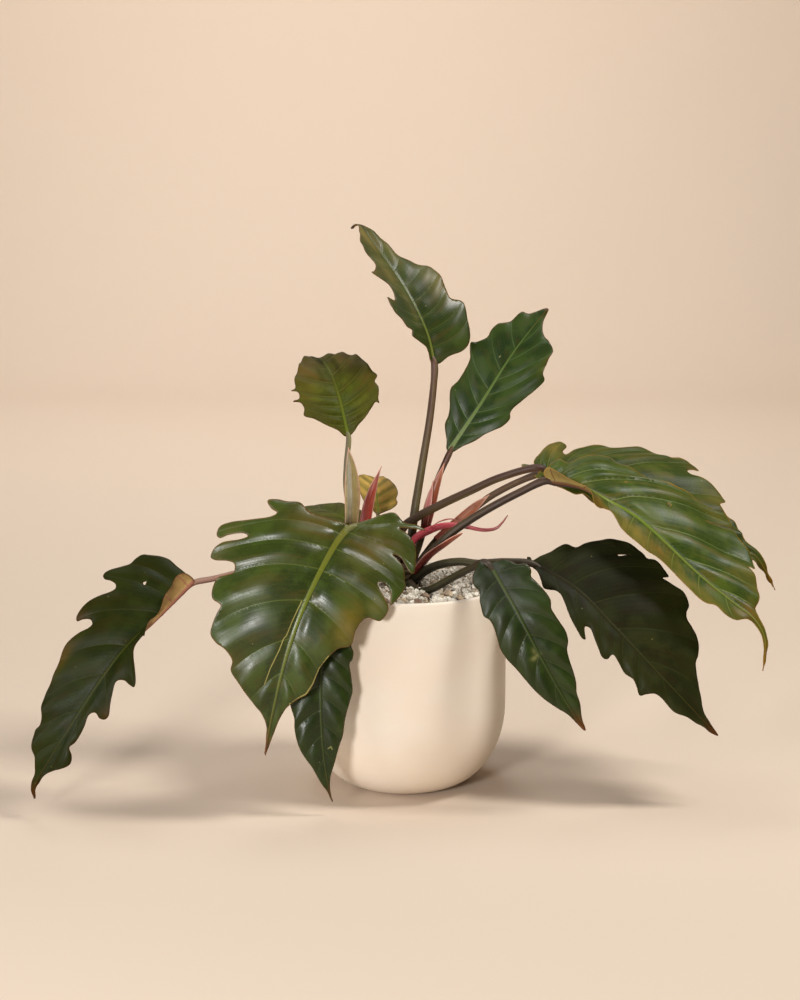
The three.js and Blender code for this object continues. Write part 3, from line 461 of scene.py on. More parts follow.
def staggeredGrid(loop, step):
    low, high = loop.min(0), loop.max(0)
    grid = []
    for i, s in enumerate(np.arange(low[0], high[0], step * 0.866)):
        w = np.arange(low[1] + (i % 2) * step / 2, high[1], step)
        grid.append(np.stack([np.full_like(w, s), w], -1))
    return np.vstack(grid)


def triangulated(places, loop, holes):
    # places begin with the points of the margin and of the holes, and those rings stay edges
    borders = []
    first = 0
    for ring in [loop] + holes:
        numbers = list(range(first, first + len(ring)))
        borders += list(zip(numbers, numbers[1:] + numbers[:1]))
        first += len(ring)
    turned = [(w, s) for s, w in places.tolist()]
    found, _, faces, *_ = delaunay_2d_cdt(turned, borders, [], 1, 1e-5)
    places = np.array([(w[1], w[0]) for w in found])
    faces = np.array([face for face in faces if len(face) == 3])
    faces = faces[onSheet(places[faces].mean(1), loop, holes)]
    used = np.unique(faces)
    numbers = np.full(len(places), -1)
    numbers[used] = np.arange(len(used))
    return places[used], numbers[faces]


def bladeSheet(leaf):
    # the flat places, the triangles, and the fields that the relief and the finish are drawn from
    look = bladeLook
    rib = ribOf(leaf)
    length = rib["length"]
    corners = [(s, w) for s, w in leaf["right"]] + [(s, w) for s, w in reversed(leaf["left"])]
    loop = evenSteps(splineThrough(corners, closed=True, perSpan=10), look["edgeStep"], closed=True)
    holes = [evenSteps(splineThrough(hole, closed=True, perSpan=10), look["holeStep"], closed=True)
             for hole in leaf["holes"]]
    veins = {1: [veinLine(s, end, look["veinReach"]) for s, end in leaf["veinsRight"]],
             -1: [veinLine(s, end, look["veinReach"]) for s, end in leaf["veinsLeft"]]}

    edges = np.vstack([loop] + holes)
    inlay = inlaidLines(leaf, veins, length, look["lineStep"])
    inlay = inlay[onSheet(inlay, loop, holes)]
    inlay = inlay[nearestGap(inlay, edges) > look["edgeClear"]]
    grid = staggeredGrid(loop, look["gridStep"])
    grid = grid[onSheet(grid, loop, holes)]
    grid = grid[nearestGap(grid, np.vstack([edges, inlay])) > look["gridStep"] * 0.52]
    places, faces = triangulated(np.vstack([edges, inlay, grid]), loop, holes)
    return rib, places, faces, bladeFields(leaf, places, loop, holes, veins, length)


def phaseBetween(lines, places):
    # which two veins a place lies between and how far from one to the next, and its gap to the nearest
    gaps = []
    nearest = np.full(len(places), farAway)
    for line in lines:
        gap, ahead = gapTo(places, line)
        gaps.append(gap * ahead)
        nearest = np.minimum(nearest, gap)
    gaps = np.array(gaps)
    last = len(lines) - 1
    order = np.clip((gaps > 0).cumprod(0).sum(0) - 1, -1, last)
    columns = np.arange(gaps.shape[1])
    before = gaps[np.clip(order, 0, None), columns]
    after = gaps[np.clip(order + 1, None, last), columns]
    phase = order + before / np.maximum(before - after, 1e-6)
    phase = np.where(order < 0, gaps[0] / 16.0, phase)
    return np.where(order == last, last + gaps[-1] / 16.0, phase), nearest


def bladeFields(leaf, places, loop, holes, veins, length):
    s, w = places[:, 0], places[:, 1]
    reach = np.abs(w)
    marginGap, _ = gapTo(places, np.vstack([loop, loop[:1]]))
    holeGap = np.full(len(places), farAway)
    for hole in holes:
        gap, _ = gapTo(places, np.vstack([hole, hole[:1]]))
        holeGap = np.minimum(holeGap, gap)
    phase = np.zeros(len(places))
    veinGap = np.full(len(places), farAway)
    for side, lines in veins.items():
        here = (w >= 0) if side > 0 else (w < 0)
        phase[here], veinGap[here] = phaseBetween(lines, np.stack([s[here], reach[here]], -1))
    halfRib = ribWidth(leaf, length, s)
    # the midrib is pale only ahead of its foot, and the basal lobes have no midrib between them
    ribGap = np.where(s < 0, np.hypot(np.minimum(s, 0.0), w), reach) / halfRib
    return {"s": s, "w": w, "reach": reach, "marginGap": np.minimum(marginGap, holeGap), "phase": phase,
            "veinGap": veinGap, "ribGap": ribGap, "halfRib": halfRib, "along": s / length,
            "outward": reach / (reach + marginGap + 1e-6)}


def bladeRelief(leaf, fields):
    look = bladeLook
    s, w, reach, phase = fields["s"], fields["w"], fields["reach"], fields["phase"]
    outward = fields["outward"]
    between = np.abs(np.sin(np.pi * phase)) ** 0.8
    clear = ease(reach, fields["halfRib"], fields["halfRib"] + 9.0)
    nearEdge = 1.0 - 0.65 * ease(outward, 0.6, 1.0)
    lift = leaf["puff"] * (between * clear * nearEdge - 0.35 * clear)
    # lobes hang a little, and the margin between two lobes stands up
    wave = np.cos(2.0 * np.pi * phase)
    lift -= leaf["droop"] * outward ** 3 * ease(reach, 6.0, 24.0) * (0.6 + 0.4 * wave)
    ripple = np.sin(2.0 * np.pi * phase + 1.1 + 0.02 * s)
    lift += leaf["ruffle"] * outward ** 4 * ripple
    lift -= 0.5 * np.exp(-fields["marginGap"] / 2.0)
    # slow swells over the whole blade, different for each leaf
    chance = random.Random(leaf["seed"])
    pitch = look["swellPitch"]
    for _ in range(look["swells"]):
        waveS, waveW = chance.uniform(-pitch, pitch), chance.uniform(-pitch, pitch)
        start, size = chance.uniform(0.0, 6.28), chance.uniform(*look["swellHeight"])
        lift += size * leaf["swell"] * np.sin(waveS * s + waveW * w + start) * ease(reach, 2.0, 18.0)
    # fine side veins
    fine = 0.5 + 0.5 * np.cos(2.0 * np.pi * phase * leaf["fineVeins"])
    lift -= look["fineVeinDepth"] * fine ** 6 * clear * (1.0 - outward)
    # the midrib swells a little above the sheet, with a shallow trough beside it
    lift += 0.30 * leaf["ribWidth"] * np.clip(1.0 - fields["ribGap"] ** 2, 0.0, None) * 0.5
    return lift * np.where(w > 0.0, leaf["calmRight"], leaf["calmLeft"])


def bladeThickness(fields):
    look = bladeLook
    inner = ease(fields["marginGap"], 0.0, 5.0)
    thin = look["edgeThickness"] + (look["thickness"] - look["edgeThickness"]) * inner
    keel = np.sqrt(np.clip(1.0 - (fields["ribGap"] / 1.25) ** 2, 0.0, 1.0)) * 2.0 * fields["halfRib"]
    side = np.exp(-(fields["veinGap"] / 0.8) ** 2) * (1.0 - fields["outward"])
    return thin + keel * look["keelDepth"] + side * look["veinKeel"]


def bothFaces(values):
    # the same values on the upper face and on its copy below
    return np.concatenate([values, values])


def markedSpots(fields, spots):
    # soft oval marks: each is a place, how far it spreads along and across, and how strong it is
    worn = np.zeros(len(fields["s"]))
    for s, w, long, wide, strength in spots:
        away = ((fields["s"] - s) / long) ** 2 + ((fields["w"] - w) / wide) ** 2
        worn = np.maximum(worn, strength * np.exp(-away))
    return worn


def addBlade(name, leaf):
    rib, places, faces, fields = bladeSheet(leaf)
    points = bentPoints(rib, places[:, 0], places[:, 1], bladeRelief(leaf, fields))
    whole, allFaces, marks = thickened(points, faces, bladeThickness(fields))
    look = {**plainLook, **leaf["look"]}
    finishes = [bladeFinish(f"{name}_upper", look), undersideFinish(f"{name}_under", look)]
    piece = addPiece(f"blade_{name}", whole, allFaces, finishes, marks)
    for kind in ("phase", "veinGap", "ribGap", "marginGap", "outward", "along"):
        storeValue(piece, kind, bothFaces(fields[kind]))
    for kind in ("yellow", "rust", "pale", "dark"):
        storeValue(piece, kind, bothFaces(markedSpots(fields, leaf[kind])))
    scarGap = np.full(len(places), farAway)
    for line in leaf["scars"]:
        gap, _ = gapTo(places, np.array(line, float))
        scarGap = np.minimum(scarGap, gap)
    storeValue(piece, "scarGap", bothFaces(scarGap))
    flat = np.stack([fields["s"] / 10.0, fields["w"] / 10.0, np.full(len(places), leaf["seed"] * 3.7)], -1)
    storeVector(piece, "flat", bothFaces(flat))
    stands(piece, f"leaf_{name}")


# Leaf finishes: green to bronze in streaks along the side veins, pale veins and midrib, a coloured margin

def veinStreaks(tree, phase, outward, along):
    # noise drawn out along the side veins
    flow = tree.nodes.new("ShaderNodeCombineXYZ")
    fill(tree, flow.inputs[0], times(tree, phase, 1.5))
    fill(tree, flow.inputs[1], times(tree, outward, 1.3))
    fill(tree, flow.inputs[2], times(tree, along, 2.0))
    return speckle(tree, flow.outputs[0], 1.5, 3.0, 0.5, 0.4)


def tissueColour(tree, look, streaks, clouds, grain, veinGap, outward):
    green = blended(tree, ranged(tree, grain, 0.3, 0.75), look["green"], look["deep"])
    green = blended(tree, ranged(tree, clouds, 0.42, 0.62), green, look["fresh"])
    bronzeHere = ranged(tree, streaks, look["bronzeFrom"], look["bronzeFrom"] + 0.16)
    colour = blended(tree, times(tree, bronzeHere, look["bronzeShare"]), green, look["bronze"])
    # tissue beside the veins, fresher on most looks and painted shade on the young look, then another tint
    # further out
    colour = blended(tree, ranged(tree, veinGap, 0.5, 5.0, 0.55, 0.0), colour, look["beside"])
    outerHere = times(tree, ranged(tree, outward, 0.25, 0.95), look["outerShare"])
    colour = blended(tree, outerHere, colour, look["outer"])
    # the dark marks blend towards the shadow colour: painted shade
    for kind, shade in (("yellow", "yellow"), ("rust", "rust"), ("dark", "shadow"), ("pale", "pale")):
        mottle = ranged(tree, plus(tree, streaks, times(tree, clouds, 0.5)), 0.45, 1.0, 0.45, 1.0)
        colour = blended(tree, times(tree, sheetValue(tree, kind), mottle), colour, look[shade])
    return colour


def veinedColour(tree, look, colour, flat, fine, veinGap, outward):
    # fine side veins, a hair lighter than the sheet, then the net between them
    colour = blended(tree, ranged(tree, fine, 0.0, 0.2, look["fineShare"], 0.0), colour, look["vein"])
    net = cells(tree, flat, 3.2, edges=True)
    colour = blended(tree, ranged(tree, net, 0.0, 0.07, 0.05, 0.0), colour, look["vein"])
    # main veins taper towards the margin
    width = ranged(tree, outward, 0.0, 1.0, look["veinWidth"], look["veinWidth"] * 0.35)
    line = ranged(tree, reckon(tree, "DIVIDE", veinGap, width), 0.45, 1.1, 1.0, 0.0)
    fading = ranged(tree, outward, 0.5, 1.0, look["veinShare"], 0.25)
    return blended(tree, times(tree, line, fading), colour, look["vein"])


def ribbedColour(tree, look, colour, ribGap, along):
    # the midrib, palest at its foot, between two dark lines
    stops = [(0.0, look["ribFoot"]), (0.35, look["rib"]), (0.8, look["vein"]), (1.0, look["tip"])]
    colour = blended(tree, ranged(tree, ribGap, 0.75, 1.2, 0.95, 0.0), colour, gradient(tree, along, stops))
    offLine = reckon(tree, "ABSOLUTE", reckon(tree, "SUBTRACT", ribGap, 1.35))
    ribEdge = reckon(tree, "SUBTRACT", 1.0, ranged(tree, offLine, 0.0, 0.5))
    return blended(tree, times(tree, ribEdge, 0.35), colour, look["deep"])


def edgedColour(tree, look, colour, flat, clouds, along):
    # margin and tip, then a healed scratch and pin pricks
    edgeWidth = ranged(tree, clouds, 0.35, 0.65, look["edgeWidth"] * 0.5, look["edgeWidth"])
    edge = reckon(tree, "DIVIDE", sheetValue(tree, "marginGap"), edgeWidth)
    edge = times(tree, ranged(tree, edge, 0.15, 1.0, 1.0, 0.0), look["edgeShare"])
    colour = blended(tree, edge, colour, look["edge"])
    colour = blended(tree, ranged(tree, along, look["tipFrom"], 1.0, 0.0, 0.9), colour, look["tip"])
    scar = ranged(tree, sheetValue(tree, "scarGap"), 0.2, 0.7, 0.8, 0.0)
    colour = blended(tree, scar, colour, look["pale"])
    pricks = ranged(tree, cells(tree, flat, 0.55), 0.025, 0.05, 1.0, 0.0)
    return blended(tree, times(tree, pricks, look["pricks"]), colour, look["pale"])


def bladeFinish(name, look):
    material, tree, shader = newFinish(name)
    flat = sheetVector(tree, "flat")
    phase, veinGap, ribGap, outward, along = [
        sheetValue(tree, kind) for kind in ("phase", "veinGap", "ribGap", "outward", "along")]
    streaks = veinStreaks(tree, phase, outward, along)
    clouds = speckle(tree, flat, 0.42, 3.0, 0.5)
    grain = speckle(tree, flat, 7.0, 4.0, 0.65)
    fine = reckon(tree, "PINGPONG", times(tree, phase, look["fineVeins"]), 0.5)

    colour = tissueColour(tree, look, streaks, clouds, grain, veinGap, outward)
    colour = veinedColour(tree, look, colour, flat, fine, veinGap, outward)
    colour = ribbedColour(tree, look, colour, ribGap, along)
    colour = edgedColour(tree, look, colour, flat, clouds, along)
    colour = blended(tree, 1.0, colour, look["depth"], "MULTIPLY")
    fill(tree, shader.inputs["Base Color"], colour)

    # yellow marks, and the dark marks of painted shade, are duller than the rest
    gloss = plus(tree, ranged(tree, clouds, 0.35, 0.65, look["gloss"], look["gloss"] + 0.08),
                 ranged(tree, grain, 0.3, 0.8, 0.0, 0.07))
    gloss = plus(tree, gloss, times(tree, sheetValue(tree, "yellow"), 0.18))
    gloss = plus(tree, gloss, times(tree, sheetValue(tree, "dark"), 0.3))
    fill(tree, shader.inputs["Roughness"], gloss)
    shader.inputs["IOR"].default_value = 1.48
    shader.inputs["Specular IOR Level"].default_value = look["specular"]
    height = plus(tree, times(tree, ranged(tree, fine, 0.0, 0.25), 0.2), times(tree, grain, 0.4))
    height = plus(tree, height, times(tree, ranged(tree, veinGap, 0.0, 0.9), 0.9))
    roughen(tree, shader, height, 0.14, 0.8)
    return material


def undersideFinish(name, look):
    material, tree, shader = newFinish(name)
    flat = sheetVector(tree, "flat")
    grain = speckle(tree, flat, 5.0, 4.0, 0.6)
    clouds = speckle(tree, flat, 0.5, 3.0, 0.5)
    colour = gradient(tree, sheetValue(tree, "along"), [
        (0.0, look["underFoot"]), (0.22, look["underFoot"]), (0.4, look["under"]), (1.0, look["under"])])
    colour = blended(tree, ranged(tree, clouds, 0.35, 0.65, 0.0, 0.5), colour, look["underDark"])
    colour = blended(tree, ranged(tree, grain, 0.35, 0.8, 0.0, 0.35), colour, look["underDark"])
    vein = ranged(tree, sheetValue(tree, "veinGap"), 0.3, 1.1, 0.75, 0.0)
    colour = blended(tree, vein, colour, look["keel"])
    rib = ranged(tree, sheetValue(tree, "ribGap"), 0.9, 1.5, 0.95, 0.0)
    colour = blended(tree, rib, colour, look["keel"])
    edge = ranged(tree, sheetValue(tree, "marginGap"), 0.3, 2.0, 0.8, 0.0)
    colour = blended(tree, edge, colour, look["edge"])
    fill(tree, shader.inputs["Base Color"], colour)
    fill(tree, shader.inputs["Roughness"], ranged(tree, grain, 0.3, 0.8, 0.5, 0.66))
    shader.inputs["Specular IOR Level"].default_value = 0.35
    roughen(tree, shader, grain, 0.15, 0.7)
    return material


# The looks of the blades. Each starts from the plain one and gives only what differs.

plainLook = {
    "green": tone(56, 74, 34), "deep": tone(40, 57, 27), "fresh": tone(72, 93, 40),
    "bronze": tone(92, 80, 38), "bronzeFrom": 0.46, "bronzeShare": 0.75, "beside": tone(64, 86, 42),
    "outer": tone(70, 84, 38), "outerShare": 0.35, "yellow": tone(158, 140, 50),
    "rust": tone(142, 84, 34), "pale": tone(206, 196, 160), "shadow": tone(30, 34, 16),
    "vein": tone(126, 142, 88), "veinWidth": 0.85, "veinShare": 0.6, "fineVeins": 7.0, "fineShare": 0.08,
    "ribFoot": tone(142, 152, 84), "rib": tone(116, 134, 66), "tip": tone(120, 70, 34), "tipFrom": 0.9,
    "edge": tone(120, 82, 44), "edgeWidth": 1.6, "edgeShare": 0.85, "pricks": 0.35, "gloss": 0.33,
    "specular": 0.36, "depth": (0.62, 0.62, 0.42, 1.0), "underFoot": tone(150, 130, 70),
    "under": tone(104, 108, 58), "underDark": tone(92, 76, 44), "keel": tone(122, 84, 48),
}
glossyLook = {
    "green": tone(50, 68, 28), "deep": tone(32, 46, 20), "fresh": tone(62, 82, 28),
    "bronze": tone(62, 62, 28), "bronzeShare": 0.4, "beside": tone(48, 64, 28), "vein": tone(84, 100, 52),
    "veinShare": 0.45, "ribFoot": tone(90, 102, 52), "rib": tone(80, 94, 46), "edgeShare": 0.5,
    "gloss": 0.26, "specular": 0.34, "depth": (0.42, 0.45, 0.24, 1.0),
}
largeLook = {
    "green": tone(60, 76, 36), "bronze": tone(88, 82, 40), "bronzeFrom": 0.47, "bronzeShare": 0.55,
    "yellow": tone(146, 126, 46), "rust": tone(112, 88, 48), "vein": tone(112, 124, 72), "veinWidth": 0.8,
    "veinShare": 0.5, "ribFoot": tone(124, 124, 62), "rib": tone(124, 138, 60), "edge": tone(150, 96, 70),
    "edgeShare": 0.5, "gloss": 0.26, "specular": 0.38, "depth": (0.63, 0.6, 0.3, 1.0),
}
youngLook = {
    "green": tone(84, 96, 30), "deep": tone(62, 74, 24), "fresh": tone(98, 110, 34),
    # beside is darker than the sheet here: painted shade in the grooves along the veins
    "bronze": tone(94, 80, 36), "bronzeFrom": 0.48, "bronzeShare": 0.55, "beside": tone(58, 66, 22),
    "outer": tone(92, 80, 36), "outerShare": 0.4, "rust": tone(112, 84, 48), "vein": tone(106, 114, 46),
    "fineVeins": 6.0, "ribFoot": tone(112, 132, 52), "rib": tone(98, 104, 44),
    "edge": tone(96, 50, 34), "edgeWidth": 1.0, "gloss": 0.5, "specular": 0.14,
    "depth": (0.66, 0.62, 0.26, 1.0),
}
darkLook = {
    "green": tone(50, 64, 26), "deep": tone(38, 48, 20), "fresh": tone(58, 72, 26),
    "bronze": tone(68, 60, 28), "bronzeShare": 0.5, "beside": tone(52, 62, 30), "outer": tone(66, 64, 28),
    "vein": tone(84, 90, 52), "veinShare": 0.45, "ribFoot": tone(96, 100, 52), "rib": tone(88, 94, 50),
    "edge": tone(104, 62, 34), "edgeShare": 0.6, "gloss": 0.38, "specular": 0.11,
    "depth": (0.38, 0.37, 0.14, 1.0),
}
# the leaf under the right front one: its colours are darkened all over as painted shade
paintedShadeLook = {
    "green": tone(52, 58, 28), "deep": tone(40, 44, 22), "fresh": tone(62, 68, 34),
    "bronze": tone(56, 46, 22), "bronzeShare": 0.6, "beside": tone(54, 60, 30), "outer": tone(64, 70, 38),
    "outerShare": 0.6, "shadow": tone(24, 20, 8), "vein": tone(76, 80, 46), "veinShare": 0.35,
    "ribFoot": tone(46, 38, 24), "rib": tone(66, 66, 36), "edge": tone(92, 72, 36), "edgeShare": 0.5,
    "gloss": 0.38, "specular": 0.14, "depth": (0.46, 0.44, 0.24, 1.0),
}
stripedLook = {
    "green": tone(62, 84, 38), "deep": tone(46, 64, 30), "fresh": tone(84, 102, 42),
    "bronze": tone(104, 98, 50), "bronzeFrom": 0.45, "bronzeShare": 0.65, "yellow": tone(146, 130, 72),
    "rust": tone(150, 96, 46), "vein": tone(134, 146, 88), "veinShare": 0.5,
    "ribFoot": tone(140, 152, 70), "rib": tone(116, 140, 60), "tip": tone(158, 120, 46), "tipFrom": 0.86,
    "edge": tone(160, 126, 60), "gloss": 0.3, "specular": 0.13, "depth": (0.7, 0.67, 0.4, 1.0),
    "keel": tone(96, 58, 36),
}
topLook = {
    "bronzeShare": 0.5, "yellow": tone(168, 148, 92), "rust": tone(150, 110, 46),
    "vein": tone(104, 108, 60), "veinShare": 0.35, "fineShare": 0.3, "rib": tone(112, 126, 64),
    "tip": tone(70, 48, 34), "edge": tone(132, 80, 42), "gloss": 0.3, "specular": 0.34,
    "depth": (0.56, 0.55, 0.33, 1.0),
}
upperRightLook = {
    "green": tone(48, 70, 32), "deep": tone(34, 54, 24), "bronzeShare": 0.3, "vein": tone(104, 124, 78),
    "veinShare": 0.45, "ribFoot": tone(150, 166, 116), "rib": tone(128, 148, 96), "tipFrom": 0.97,
    "gloss": 0.34, "specular": 0.26, "depth": (0.46, 0.5, 0.28, 1.0),
}
# painted light: the small back leaf is raised above its own colour, depth above 1, for the light that reaches
# it
smallBackPaintedLightLook = {
    **youngLook, "green": tone(166, 142, 72), "deep": tone(156, 128, 62), "fresh": tone(180, 154, 80),
    "bronzeShare": 0.3, "outerShare": 0.2, "depth": (1.35, 1.2, 1.1, 1.0),
}
farLeftLook = {
    **darkLook, "underFoot": tone(168, 136, 82), "under": tone(116, 88, 52),
    "underDark": tone(116, 88, 48), "keel": tone(150, 92, 74),
}
rightRearLook = {
    **stripedLook, "gloss": 0.36, "depth": (0.7, 0.62, 0.36, 1.0),
}
frontRightLook = {
    **glossyLook, "tip": tone(150, 84, 40), "edge": tone(110, 62, 36),
}


# The thirteen blades. right and left are the margin from the foot to the tip, and each vein is where it
# leaves the midrib and where it ends. Marks are places, how far they spread, and how strong they are.

